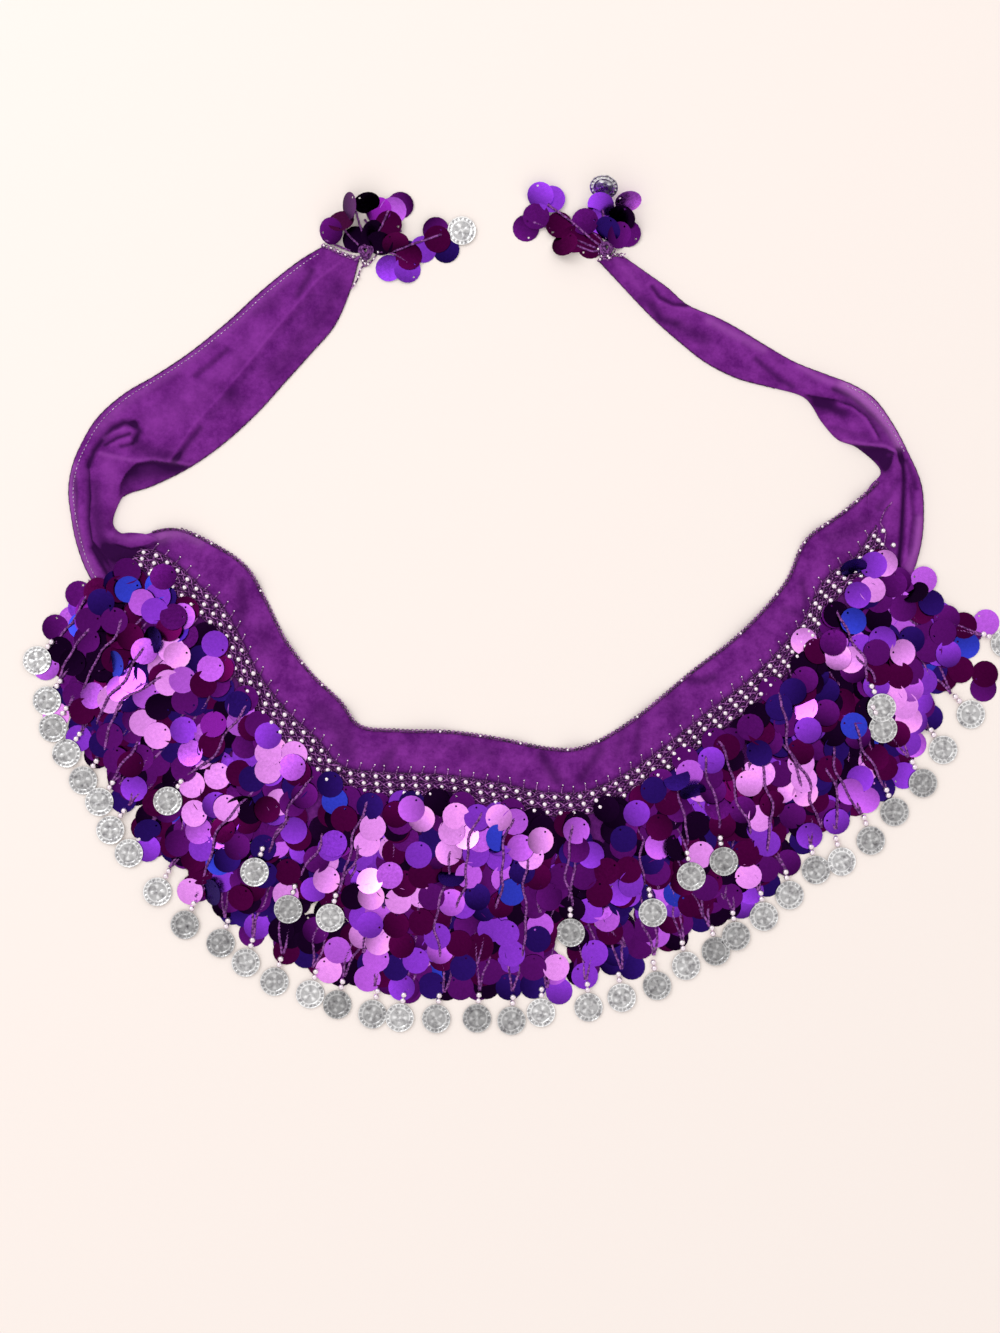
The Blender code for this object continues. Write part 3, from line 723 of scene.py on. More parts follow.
def point_value(kind, name):
    """An attribute of the points that the pieces are strung on."""
    settings = {"data_type": kind}
    return add(strung_tree, "GeometryNodeInputNamedAttribute", settings, Name=name).outputs[0]


held = add(
    strung_tree,
    "GeometryNodeInstanceOnPoints",
    Points=given["Geometry"],
    Instance=pieces.outputs[0],
    Pick_Instance=True,
    Instance_Index=point_value("INT", "pick"),
    Rotation=point_value("FLOAT_VECTOR", "turn"),
    Scale=point_value("FLOAT", "size"),
)
finish_tree(strung_tree, given, result, held.outputs[0])


def cords(name, paths, radius, material, step=1.2, pitch=7.0):
    """Twisted cords along lines of points in mm."""
    points, edges = [], []
    for path in paths:
        first = len(points)
        points += [tuple(p) for p in path]
        edges += [(k, k + 1) for k in range(first, len(points) - 1)]
    mesh = plain_mesh(name, points, [], edges=edges)
    values = {"Radius": radius * MM, "Step": step * MM, "Turn": 2 * math.pi / (pitch * MM)}
    return grown(name, mesh, cord_tree, Material=material, **values)


def piece_set(name, *meshes):
    """A collection of small pieces for stringing, kept out of the scene."""
    made = bpy.data.collections.new(name)
    for k, mesh in enumerate(meshes):
        mesh.set_sharp_from_angle(angle=SHARP)
        made.objects.link(bpy.data.objects.new(f"{name}_{k}", mesh))
    return made


def strung(name, pieces, points, material, turns=None, sizes=None, tints=None, picks=None):
    """Small pieces from a set, one at each point in mm."""
    count = len(points)
    attributes = [
        ("turn", "FLOAT_VECTOR", np.zeros((count, 3)) if turns is None else np.array(turns)),
        ("size", "FLOAT", np.ones(count) if sizes is None else np.array(sizes, float)),
        ("pick", "INT", np.zeros(count, int) if picks is None else np.array(picks, int)),
    ]
    if tints is not None:
        attributes.append(("tint", "FLOAT_COLOR", np.array(tints, float)))
    mesh = plain_mesh(name, points, [], attributes)
    return grown(name, mesh, strung_tree, Pieces=pieces, Material=material)


def turned_profile(name, profile, sides):
    """A closed turned mesh from radii and heights in mm, the first and last on the axis."""
    points = [(0, 0, profile[0][1])]
    faces = []
    for radius, height in profile[1:-1]:
        for k in range(sides):
            angle = 2 * math.pi * k / sides
            points.append((radius * math.cos(angle), radius * math.sin(angle), height))
    points.append((0, 0, profile[-1][1]))
    last = len(points) - 1
    for k in range(sides):
        n = (k + 1) % sides
        faces.append((0, 1 + k, 1 + n))
        for ring in range(len(profile) - 3):
            a, b = 1 + ring * sides, 1 + (ring + 1) * sides
            faces.append((a + k, b + k, b + n, a + n))
        a = 1 + (len(profile) - 3) * sides
        faces.append((a + n, a + k, last))
    return plain_mesh(name, points, faces)


def ball(name, across):
    """A round bead with flattened ends, its profile running from its bottom up."""
    sides, steps = BEAD_SIDES
    angles = [math.pi * k / (steps - 1) for k in range(steps)]
    return turned_profile(name, [(across / 2 * math.sin(a),
        across / 2 * -math.cos(a)) for a in angles], sides)


def new_effect(name, inputs, outputs):
    """A shader node group with named inputs and outputs."""
    group = bpy.data.node_groups.new(name, "ShaderNodeTree")
    for label, kind in inputs.items():
        group.interface.new_socket(label, in_out="INPUT", socket_type=f"NodeSocket{kind}")
    for label, kind in outputs.items():
        group.interface.new_socket(label, in_out="OUTPUT", socket_type=f"NodeSocket{kind}")
    return group, group.nodes.new("NodeGroupInput").outputs, group.nodes.new("NodeGroupOutput").inputs


# Spun thread: dark, with light flecks of painted highlight where a stitch would catch the light
spun, given, result = new_effect(
    "spun thread",
    {"Deep": "Color", "Light": "Color", "Flecks": "Float"},
    {"Color": "Color", "Height": "Float"},
)
here = add(spun, "ShaderNodeTexCoord").outputs["Object"]
flecks = add(spun, "ShaderNodeTexNoise", Vector=here, Scale=given["Flecks"], Detail=2.0, Roughness=0.5)
bright = ranged(spun, flecks.outputs[0], 0.42, 0.62)
spun.links.new(blend(spun, bright, given["Deep"], given["Light"]), result["Color"])
fibres = add(spun, "ShaderNodeTexNoise", Vector=here, Scale=2600.0, Detail=2.0)
spun.links.new(fibres.outputs[0], result["Height"])


def thread_material(name, deep, light, flecks):
    material, tree, shader = new_material(name, Roughness=0.55, Specular_IOR_Level=0.3)
    tones = {"Deep": (*deep, 1), "Light": (*light, 1)}
    effect = add(tree, "ShaderNodeGroup", {"node_tree": spun}, Flecks=flecks, **tones)
    relief = add(tree, "ShaderNodeBump", Strength=0.4, Distance=0.1 * MM, Height=effect.outputs["Height"])
    tree.links.new(effect.outputs["Color"], shader.inputs["Base Color"])
    tree.links.new(relief.outputs[0], shader.inputs["Normal"])
    return material


# Old silver: bright where it is rubbed and grey where it has tarnished
aged, given, result = new_effect(
    "old silver",
    {"Bright": "Color", "Tarnish": "Color", "Wear": "Float"},
    {"Color": "Color", "Roughness": "Float"},
)
here = add(aged, "ShaderNodeTexCoord").outputs["Object"]
stains = add(aged, "ShaderNodeTexNoise", Vector=here, Scale=260.0, Detail=5.0, Roughness=0.65)
dull = reckon(aged, "MULTIPLY", ranged(aged, stains.outputs[0], 0.45, 0.8), given["Wear"], clamp=True)
aged.links.new(blend(aged, dull, given["Bright"], given["Tarnish"]), result["Color"])
aged.links.new(ranged(aged, dull, 0.0, 1.0, 0.2, 0.55), result["Roughness"])


def silver_material(name, bright, wear, **constants):
    """A worn silver material, with its tree, shader and colour."""
    material, tree, shader = new_material(name, **constants)
    tones = {"Bright": (*bright, 1), "Tarnish": (*TARNISH, 1)}
    effect = add(tree, "ShaderNodeGroup", {"node_tree": aged}, Wear=wear, **tones)
    tree.links.new(effect.outputs["Roughness"], shader.inputs["Roughness"])
    return material, tree, shader, effect.outputs["Color"]


crochet = thread_material("dark crochet thread", CROCHET_DEEP, CROCHET_HIGHLIGHT, 900.0)
plum_thread = thread_material("plum thread", PLUM_DEEP, PLUM_HIGHLIGHT, 700.0)
lilac_thread = thread_material("lilac stitches", STITCH_DEEP, STITCH_HIGHLIGHT, 900.0)
bead_silver, tree, shader, worn = silver_material("silver beads", SILVER, 0.25, Metallic=0.9)
tree.links.new(worn, shader.inputs["Base Color"])

# Sections an even distance apart along the net, so that the beads keep their pitch
fine = np.linspace(*NET_SECTIONS, 1200)
middle = np.array([panel_point(s, net_start(s) + SEAM + NET_DEPTH / 2) for s in fine])
net_run = run_along(middle)
NET_LENGTH = net_run[-1]


def net_place(run, reach, lie):
    """A point on the net: run mm along it, reach mm below its upper edge."""
    section = float(np.interp(run, net_run, fine))
    return (*panel_point(section, net_start(section) + SEAM + reach), lie)


runs = np.arange(0, NET_LENGTH, 1.2)
cord_paths = [
    [net_place(r, reach + 0.25 * math.sin(r / 1.9), NET_LIE) for r in runs] for reach in CORD_REACHES
]
eye_paths = []
bead_points = []
for reach, shift in BEAD_ROWS.items():
    for way in (1, -1):
        wave = [way * EYE_SPREAD * math.sin(math.pi * (r / BEAD_PITCH - shift)) for r in runs]
        eye_paths.append([net_place(r, reach + w, NET_LIE + 0.5) for r, w in zip(runs, wave)])
    first = BEAD_PITCH * (0.5 + shift)
    bead_points += [net_place(r, reach, NET_LIE + 1.0) for r in np.arange(first, NET_LENGTH, BEAD_PITCH)]
first_row = next(iter(BEAD_ROWS))
picot_paths, tip_points = [], []
draw = np.random.default_rng(7)
for r in np.arange(BEAD_PITCH, NET_LENGTH - 2, BEAD_PITCH):
    lean, tall = draw.normal(0, 0.7), PICOT_TALL * draw.uniform(0.75, 1.1)
    rise = [(0, first_row - 0.5), (lean * 0.3, -tall * 0.5), (lean, first_row - tall - 2.5)]
    picot_paths.append([net_place(r + x, y, NET_LIE - 0.2) for x, y in rise])
    tip_points.append(net_place(r + lean, first_row - tall - 3.2, NET_LIE - 0.2))
# Loose ends of thread hang from both ends of the net, with a bead or two
NET_ENDS = [
    [(-265, 34), (-266, 28), (-263, 22), (-265, 15), (-263, 8)],
    [(254, 72), (249, 66), (246, 58), (250, 51), (249, 42), (253, 36), (251, 27), (257, 15)],
    [(-307, 18), (-303, 12), (-302, 6)],
]
NET_TOP = 1.2
END_BEADS = [(-264, 22), (255, 42), (248, 52), (-303, 12)]
net_cords = cords("net_cords", cord_paths, NET_CORD, crochet)
end_paths = [[(x, y, pile_at(x, y) + 0.8) for x, y in path] for path in NET_ENDS]
net_threads = cords(
    "net_threads", eye_paths + picot_paths + end_paths, NET_THREAD, plum_thread, step=1.1, pitch=4.0
)
bead_points += [(x, y, pile_at(x, y) + 2.0) for x, y in END_BEADS]
beads = piece_set("beads", ball("bead", BEAD_SIZE))
sizes = list(draw.normal(1, 0.05, len(bead_points)).clip(0.85,
    1.1)) + [PICOT_BEAD / BEAD_SIZE] * len(tip_points)
net_beads = strung("net_beads", beads, bead_points + tip_points, bead_silver, sizes=sizes)
for piece in (net_cords, net_threads, net_beads):
    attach(piece, "root")
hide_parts("bead_net")
for path in (*cord_paths, *eye_paths, bead_points):
    raise_pile(np.array([path]) + (0, 0, NET_TOP))

# All edges are finished with dark crochet. The panel's top edge has a cord with small scallops
# and a few white seed beads, and the ties a thin rolled hem with a row of stitches inside it.
EDGE_CORD = 1.0
SCALLOP_THREAD = 0.5
SCALLOP_PITCH = 3.2
SCALLOP_RISE = 1.4
EDGE_SECTIONS = (0.4, 20)
EDGE_BEYOND = [(242, 83), (246, 88)]
SCALLOPS_FROM = 20
HEM_CORD = 0.6
STITCH_PITCH = 2.9
STITCH_LONG = 1.5
STITCH_INSET = 3.7
STITCH_THREAD = 0.38
# How far along X each white seed bead sits on the panel's top edge
SEEDS_AT = (-231, -221, -187, -158, -144, -61, -33, -5, 28, 50, 77, 108, 149, 175, 191, 194, 206,
    210, 223, 230)
SEED_SIZE = 2.0


def edge_path(grid, across, first=0, last=None):
    """Points of a cloth's grid along one line of it, from one share of its length to another."""
    rows = len(grid)
    line = grid[int(rows * first) : int(rows * (1 if last is None else last)), across]
    return [tuple(p) for p in line[::2]]


def inset_path(grid, inset, first, last):
    """A line a fixed distance inside a cloth's first edge, in mm."""
    found = []
    rows = len(grid)
    for line in grid[int(rows * first) : int(rows * last) : 2]:
        run = run_along(line)
        found.append(tuple(np.interp(inset, run, line[:, k]) for k in range(3)))
    return found


def stitches(path):
    """Short straight stitches along a path."""
    line = np.array(path)
    run = run_along(line)
    found = []
    for start in np.arange(0, run[-1] - STITCH_LONG, STITCH_PITCH):
        ends = [[np.interp(r, run, line[:, k]) for k in range(3)] for r in (start, start + STITCH_LONG)]
        found.append([(x, y, z + 0.1) for x, y, z in ends])
    return found


edge_line = [tuple(panel_point(s, 0)) for s in np.linspace(*EDGE_SECTIONS, 800)] + EDGE_BEYOND
edge_line = np.array(edge_line)
edge_run = run_along(edge_line)


def edge_place(run, out, lift=0.45):
    """A point run mm along the panel's top edge and out mm beyond it."""
    here, ahead = (Vector([np.interp(r, edge_run, edge_line[:, k]) for k in (0, 1)]) for r in (run, run + 1))
    outward = Vector((here.y - ahead.y, ahead.x - here.x)).normalized()
    return (*(here + outward * out), pile_at(*(here - outward * 1.5)) + lift)


edge_end = edge_run[-1] - 1
edge_runs = np.arange(0, edge_end, 1.6)
scallop_runs = np.arange(SCALLOPS_FROM, edge_end, SCALLOP_PITCH / 6)
scallops = [
    edge_place(r, 0.3 + SCALLOP_RISE * abs(math.sin(math.pi * r / SCALLOP_PITCH))) for r in scallop_runs
]
edge_cords = cords("edge_cord", [[edge_place(r, 0) for r in edge_runs]], EDGE_CORD, crochet,
    step=0.8, pitch=3.4)
edge_scallops = cords("edge_scallops", [scallops], SCALLOP_THREAD, plum_thread, step=0.7, pitch=2.4)
seeds = [edge_place(np.interp(x, edge_line[:, 0], edge_run), 0.5, 1.3) for x in SEEDS_AT]
edge_beads = strung("edge_beads", beads, seeds, bead_silver, sizes=[SEED_SIZE / BEAD_SIZE] * len(seeds))
hem_paths = [
    edge_path(wide_grid, 0, 0, 0.97),
    edge_path(wide_grid, -1, 0, 0.62),
    edge_path(rolled_grid, 0, 0, 0.97),
    edge_path(rolled_grid, -1, 0, 0.44),
]
hems = cords("tie_hems", hem_paths, HEM_CORD, crochet, step=1.2, pitch=3.0)
stitched = stitches(inset_path(wide_grid, STITCH_INSET, 0.03, 0.93))
stitched += stitches(inset_path(rolled_grid, STITCH_INSET - 1, 0.55, 0.75))
hem_stitches = cords("hem_stitches", stitched, STITCH_THREAD, lilac_thread, step=0.75, pitch=4.0)
for piece in (edge_cords, edge_scallops, edge_beads, hems, hem_stitches):
    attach(piece, "root")

# The fringe hangs in three rows from the net, the middle of the panel and the hem. A strand is
# a loop of two dark mauve cords strung with foil spangles, and silver beads close it over a
# stamped coin. The outer rows lie lowest, and each strand is laid from its end to its root.
Row = namedtuple("Row", "name root first last strands reach coins coin_reach seed")
ROWS = [
    Row("hem", 1.0, 0.15, 19.9, 37, 1.00, range(37), 1.00, 11),
    Row("middle", 0.5, 0.5, 19.4, 29, 0.58, (9, 10, 16, 18, 26), 0.36, 12),
    Row("upper", 0.0, 0.8, 19.5, 29, 0.20, (5, 8, 19, 20, 26), 0.20, 13),
]
STRETCHES = 5
SPANGLE = 9.4
SPANGLE_WALL = 0.13
SPANGLE_HOLE = (0.75, 6.9)
SPANGLE_RAYS = 18
SPANGLE_PITCH = 10.5
CORD_SPREAD = 4.2
CORD_RADIUS = 1.1
COIN = 9.9
COIN_WALL = 0.9
COIN_RAYS = 72
COIN_DOTS = 18
FRINGE_BEAD = 4.3
BEADS_ABOVE = (2.7, 6.9)
MOST_LEAN = 1.2
STEEP = 0.45
STEEP_SUNK = 0.45
# A piece rests on this many hundredths of what lies below it. The pile is counted loose, and
# its own weight then settles it to a share of that height.
LAID_ON = 97
SETTLED = 0.42
HIGHEST = 15.6
pile /= SETTLED

# Foil colours from dark to bright, with the share of the spangles that shows each. Each is the
# foil's own tint with a painted reflection in it: the dark ones stand for foil mirroring dark
# surroundings, and the bright orchid and pink ones for foil mirroring the light
Foil = namedtuple("Foil", "name red green blue share")
FOILS = [
    Foil("black", 0.008, 0.001, 0.014, 0.22),
    Foil("maroon", 0.058, 0.001, 0.040, 0.22),
    Foil("indigo", 0.020, 0.005, 0.115, 0.15),
    Foil("plum", 0.086, 0.005, 0.130, 0.26),
    Foil("royal", 0.028, 0.040, 0.500, 0.02),
    Foil("violet", 0.230, 0.036, 0.600, 0.08),
    Foil("orchid", 0.490, 0.105, 0.770, 0.03),
    Foil("pink", 0.800, 0.285, 0.920, 0.02),
]
# The spangles that lie on top, listed by foil, in mm
TOP_SPANGLES = {
    "pink": [
        (-74, -149), (-50, -147), (-53, -158), (-20, -148), (-43, -161), (2, -175), (-108,
            -155), (-112, -166),
        (-55, -172), (-140, -191), (-109, -203), (-110, -192), (-90, -206), (-104, -235), (-139,
            -255), (20, -253),
        (163, -117), (154, -124), (190, -110), (192, -121), (193, -131), (216, -36), (225, -38), (161, -148),
        (154, -189), (121, -174), (261, -33), (255, -64), (263, -70), (266, -80), (-248, -31), (-244, -35),
        (-250, -54), (-268, -82), (-258, -91), (-181, -103), (-181, -115), (-216, -119), (-234, -125),
        (-209, -141), (-232, -145), (-236, -200), (-169, -202), (-290, -66), (-330, -77), (240,
            11), (9, -164),
    ],
    "orchid": [
        (-81, -142), (-9, -151), (-33, -163), (-5, -169), (34, -157), (-96, -188), (-41, -188), (-53, -207),
        (-133, -241), (-106, -247), (-112, -261), (-61, -241), (113, -117), (225, -130), (91,
            -168), (267, -58),
        (237, -136), (321, -12), (277, 18), (-269, 2), (-267, -32), (-274, -52), (-283, -58), (-303, -63),
        (-240, -52), (-235, -103), (-164, -113), (-229, -157), (-337, -43), (-221, -44), (-265, -63),
    ],
    "violet": [
        (-135, -166), (-76, -174), (-36, -173), (44, -174), (-35, -148), (-45, -209), (-149,
            -198), (-110, -223),
        (-63, -231), (-78, -248), (-88, -267), (-11, -243), (-15, -229), (40, -259), (47, -243), (43, -213),
        (128, -108), (195, -87), (216, -151), (161, -155), (167, -166), (197, -161), (76, -145), (72, -194),
        (64, -200), (241, 28), (230, 7), (294, -34), (247, -24), (243, -56), (277, -53), (274,
            -67), (270, -81),
        (266, -96), (263, -119), (232, -121), (-260, -4), (-240, -87), (-181, -91), (-217,
            -139), (-275, -128),
        (-163, -157), (-266, -170), (-227, -169), (-137, -169), (-314, -93), (-218, -27),
    ],
    "royal": [(-21, -162), (-11, -200), (227, -11), (227, -84), (-278, 11), (-287, -41), (307, -28)],
    "indigo": [
        (-110, -140), (-53, -189), (-35, -203), (-4, -185), (-92, -253), (-67, -266), (-45,
            -253), (-13, -267),
        (4, -266), (7, -233), (161, -103), (185, -60), (175, -71), (67, -163), (88, -129), (115, -130),
        (104, -121), (227, 26), (282, 2), (268, -24), (248, -128), (-261, -24), (-202, -69), (-192, -121),
        (-220, -200), (-209, -177), (-184, -169), (-183, -188), (-138, -125), (-296, 2), (-297,
            -97), (-265, -157),
    ],
    "plum": [
        (-67, -203), (24, -189), (39, -189), (15, -203), (-148, -227), (-47, -267), (-27, -256), (4, -253),
        (127, -119), (155, -85), (193, -52), (185, -147), (149, -142), (182, -180), (124, -197), (167, -184),
        (34, -170), (293, -9), (290, -19), (319, -58), (243, -33), (213, -26), (227, -45), (268, -46),
        (230, -91), (-247, -8), (-239, -67), (-219, -83), (-188, -83), (-240, -114), (-202,
            -168), (-244, -166),
        (-147, -177), (-254, 20), (-305, -11), (-287, -11), (-307, -24), (-291, -91), (-287,
            -108), (-316, -63),
    ],
    "maroon": [
        (-128, -149), (-92, -146), (-86, -194), (-74, -188), (7, -189), (-92, -223), (-74,
            -221), (-88, -237),
        (-48, -236), (-33, -238), (139, -99), (190, -102), (210, -114), (170, -138), (152, -173), (92, -155),
        (50, -201), (55, -185), (70, -184), (305, -14), (320, -48), (303, -45), (244, -47), (259, -49),
        (258, -90), (243, -106), (250, -113), (-254, -50), (-226, -55), (-220, -97), (-201,
            -117), (-212, -156),
        (-260, -138), (-277, -111), (-181, -142), (-160, -162), (-233, -177), (-167, -186), (-311, -74),
        (-200, -204), (-250, -16),
    ],
    "black": [
        (-121, -203), (31, -212), (55, -142), (104, -169), (118, -153), (270, 9), (238, -73), (-257, -71),
        (-200, -138), (-327, -31), (-318, -40),
    ],
}
# The strands fan out from here, so what lies nearer to it is laid later
FAN_CENTRE = Vector((-10, 60))
TOP_ORDER = 1000
STEEP_SHARE = 0.22
# How far a steep one leans, and how much the others' lean varies
STEEP_TIPS = (0.6, 1.4)
LEAN_SPREAD = 0.025
OVER_SHARE = 0.09
TUCKED = 3.5
COIN_LIFT = 0.4
COIN_SHINE = (0.65, 1.25)
STEEP_FOILS = ("black", "indigo", "royal")


def round_patch(radius):
    """The cells under a round piece, as steps from its middle, and what fits a plane to them."""
    span = np.arange(-math.ceil(radius), math.ceil(radius) + 1)
    dx, dy = (a.ravel() for a in np.meshgrid(span, span, indexing="ij"))
    inside = np.hypot(dx, dy) <= radius
    dx, dy = dx[inside], dy[inside]
    return dx, dy, np.linalg.pinv(np.stack([dx, dy, np.ones(len(dx))], axis=1))


def lay(x, y, patch, radius, wall, lean=(0, 0)):
    """Lays a round piece on the pile. Gives the height of its middle and its slopes."""
    dx, dy, fit = patch
    at = (np.round(x - PILE_CORNER[0]).astype(int) + dx, np.round(y - PILE_CORNER[1]).astype(int) + dy)
    heights = pile[at]
    if np.hypot(*lean) > STEEP:
        # A steep piece stands among the others, its rim on or near the floor
        reach = radius * math.sin(math.atan(np.hypot(*lean)))
        middle = max(np.median(heights) * SETTLED + reach * STEEP_SUNK, reach + wall)
        return min(middle, HIGHEST - reach), lean
    slope = (fit @ heights)[:2]
    slope = slope / max(np.hypot(*slope) / MOST_LEAN, 1) + lean
    reach = radius * np.hypot(*slope)
    plane = slope[0] * dx + slope[1] * dy
    loose = wall / 2 / SETTLED
    middle = np.percentile(heights - plane, LAID_ON) + loose
    middle = min(max(middle, reach + loose), HIGHEST / SETTLED - reach)
    pile[at] = np.maximum(heights, plane + middle + loose)
    return middle * SETTLED, slope * SETTLED


def facing(slope, spin):
    """The turn of a flat piece with these slopes, spun about its own middle."""
    normal = Vector((-slope[0], -slope[1], 1)).normalized()
    tilt = Vector((0, 0, 1)).rotation_difference(normal).to_matrix()
    return (tilt @ Matrix.Rotation(spin, 3, "Z")).to_euler()


def spangle_mesh(name, bend, glow):
    """A flat round foil with a small hole near its edge, bent by bend mm, and a painted sheen
    makes it brighter on one side, by the share given."""
    hole, up = SPANGLE_HOLE
    points, shine = [], []
    for side in (-1, 1):
        for radius, centre in ((hole, up), (SPANGLE, 0)):
            for k in range(SPANGLE_RAYS):
                angle = 2 * math.pi * k / SPANGLE_RAYS
                x, y = radius * math.cos(angle), centre + radius * math.sin(angle)
                across = (x * math.cos(bend) + y * math.sin(bend)) / SPANGLE
                points.append((x, y, side * SPANGLE_WALL / 2 + bend * (across**2 - 0.5)))
                shine.append(1 + glow * (0.8 * x + 0.6 * y) / SPANGLE)
    faces = []
    low_hole, low_rim, top_hole, top_rim = (k * SPANGLE_RAYS for k in range(4))
    for k in range(SPANGLE_RAYS):
        n = (k + 1) % SPANGLE_RAYS
        for a, b in ((top_hole, top_rim), (top_rim, low_rim), (low_rim, low_hole), (low_hole, top_hole)):
            faces.append((a + k, b + k, b + n, a + n))
    return plain_mesh(name, points, faces, [("glow", "FLOAT", np.array(shine))])


def coin_relief(share, angle):
    """Height of a coin's face: a beaded rim, a ring and a plain rosette of four petals."""
    if share > 0.94:
        return 0.5
    if share > 0.76:
        return 0.15 + 0.4 * max(0, math.cos(COIN_DOTS * angle))
    if share > 0.66:
        return 0.4
    petals = 0.35 * max(0, math.cos(4 * angle)) * bump(share - 0.36, 0.26)
    return 0.18 + petals + 0.35 * bump(share, 0.16)


def coin_mesh(name):
    shares = [0.1, 0.2, 0.32, 0.44, 0.56, 0.65, 0.67, 0.74, 0.78, 0.85, 0.92, 0.95, 1.0]
    points = [(0, 0, 0.6)]
    hollow = [0.0]
    for share in shares:
        for k in range(COIN_RAYS):
            angle = 2 * math.pi * k / COIN_RAYS
            x, y = share * COIN * math.cos(angle), share * COIN * math.sin(angle)
            rise = coin_relief(share, angle)
            points.append((x, y, rise))
            hollow.append(1 - min(rise / 0.5, 1))
    points += [(x, y, -0.35) for x, y, _ in points[-COIN_RAYS:]]
    hollow += [0.4] * COIN_RAYS
    faces = []
    for k in range(COIN_RAYS):
        n = (k + 1) % COIN_RAYS
        faces.append((0, 1 + k, 1 + n))
        for ring in range(len(shares)):
            a, b = 1 + ring * COIN_RAYS, 1 + (ring + 1) * COIN_RAYS
            faces.append((a + k, b + k, b + n, a + n))
    under = 1 + len(shares) * COIN_RAYS
    faces.append(tuple(under + k for k in reversed(range(COIN_RAYS))))
    return plain_mesh(name, points, faces, [("hollow", "FLOAT", np.array(hollow))])


def root_reach(row, section):
    """How far below the top edge a row of the fringe is rooted, in mm."""
    start = net_start(section) + 2 * SEAM + NET_DEPTH
    depth = depth_at(section)
    return depth + SEAM if row.root == 1 else start + (depth - start) * row.root


def even_sections(row):
    """Section numbers an even distance apart along a row's roots."""
    sections = np.linspace(row.first, row.last, 800)
    run = run_along([panel_point(s, root_reach(row, s)) for s in sections])
    return np.interp(np.linspace(0, run[-1], row.strands), run, sections)


def foil_at(x, y, own):
    """The foil of a spangle, its brightness a painted reflection: chosen by a value of its own that stands
    for its tilt, and by slow changes of light along the fringe.
    """
    value = own + 1.3 * noise.noise(Vector((x / 34, y / 34, 3.0)))
    bright = 0.5 + 0.5 * math.erf(value / 1.37)
    reached = np.cumsum([foil.share for foil in FOILS])
    return FOILS[min(int(np.searchsorted(reached, bright)), len(FOILS) - 1)]


def tinted(foil, vary):
    """A foil's colour, a little lighter or darker than its neighbours."""
    return (*(min(c * vary, 1) for c in (foil.red, foil.green, foil.blue)), 1)


# Spangle foil: each spangle's tint, partly a painted reflection, times its painted sheen and small scuffs
foil_finish, tree, shader = new_material("spangle foil", Metallic=1.0)
tint = attribute(tree, "tint", "Color")
here = add(tree, "ShaderNodeTexCoord").outputs["Object"]
scuffs = add(tree, "ShaderNodeTexNoise", Vector=here, Scale=500.0, Detail=4.0, Roughness=0.7).outputs[0]
fade = reckon(tree, "MULTIPLY", ranged(tree, scuffs, 0.3, 0.7, 0.86, 1.1), attribute(tree, "glow"))
scuffs_and_sheen = add(tree, "ShaderNodeVectorMath", {"operation": "SCALE"}, i0=tint, Scale=fade)
tree.links.new(scuffs_and_sheen.outputs[0], shader.inputs["Base Color"])
tree.links.new(ranged(tree, scuffs, 0.3, 0.7, 0.16, 0.34), shader.inputs["Roughness"])

# Coins: worn silver with dirt in the hollows of the stamp
COIN_BRIGHT = (0.80, 0.81, 0.82)
COIN_DIRT = (0.07, 0.07, 0.075)
DIRT_SHARE = 0.75
coin_silver, tree, shader, worn = silver_material("stamped silver", COIN_BRIGHT, 1.2, Metallic=1.0)
sunk = reckon(tree, "MULTIPLY", attribute(tree, "hollow"), DIRT_SHARE)
dirty = blend(tree, sunk, worn, (*COIN_DIRT, 1))
tint = attribute(tree, "tint", "Color")
rubbed = add(tree, "ShaderNodeVectorMath", {"operation": "MULTIPLY"}, i0=dirty, i1=tint)
tree.links.new(rubbed.outputs[0], shader.inputs["Base Color"])
here = add(tree, "ShaderNodeTexCoord").outputs["Object"]
stamped = add(tree, "ShaderNodeTexNoise", Vector=here, Scale=620.0, Detail=3.0, Roughness=0.6)
relief = add(tree, "ShaderNodeBump", Strength=0.8, Distance=0.25 * MM, Height=stamped.outputs[0])
tree.links.new(relief.outputs[0], shader.inputs["Normal"])

# The braided cords' dark colour and the colour of their painted highlight flecks
MAUVE_DEEP = (0.07, 0.006, 0.10)
MAUVE_HIGHLIGHT = (0.33, 0.09, 0.40)
mauve = thread_material("mauve braided cord", MAUVE_DEEP, MAUVE_HIGHLIGHT, 600.0)
# Spangle shapes, each a bend and a share of painted sheen, and how often each shape is used
SHAPES = ((0.0, 0.1), (0.15, 0.45), (-0.1, -0.4), (0.25, 0.7))
SHAPE_SHARES = (0.55, 0.2, 0.17, 0.08)
spangles = piece_set("spangles", *(spangle_mesh(f"foil_{k}", *shape) for k, shape in enumerate(SHAPES)))
coins = piece_set("coins", coin_mesh("coin"))
spangle_patch = round_patch(SPANGLE)
coin_patch = round_patch(COIN)


def strand_point(section, reach, aside):
    """A point on a strand, aside mm to its right when seen from its root."""
    point = panel_point(section, reach)
    ahead = (panel_point(section, reach + 1) - point).normalized()
    return point + Vector((-ahead.y, ahead.x)) * aside, ahead


def swayed(share, drift, bend, with_coin):
    """How far a strand strays to one side at a share of its length. A coin pulls it straight."""
    return drift * share * (not with_coin) + bend * math.sin(math.pi * share)


def lie_on_pile(path, radius, sink=0.3):
    """Gives a cord's points their heights on the pile, smoothed as a cord bridges hollows."""
    heights = [pile_at(*p) * SETTLED for p in path]
    soft = [
        (max(heights[max(k - 1, 0) : k + 2]) + np.mean(heights[max(k - 3, 0) : k + 4])) / 2
        for k in range(len(path))
    ]
    return [(p[0], p[1], max(h + radius * (1 - sink), radius + 0.3)) for p, h in zip(path, soft)]


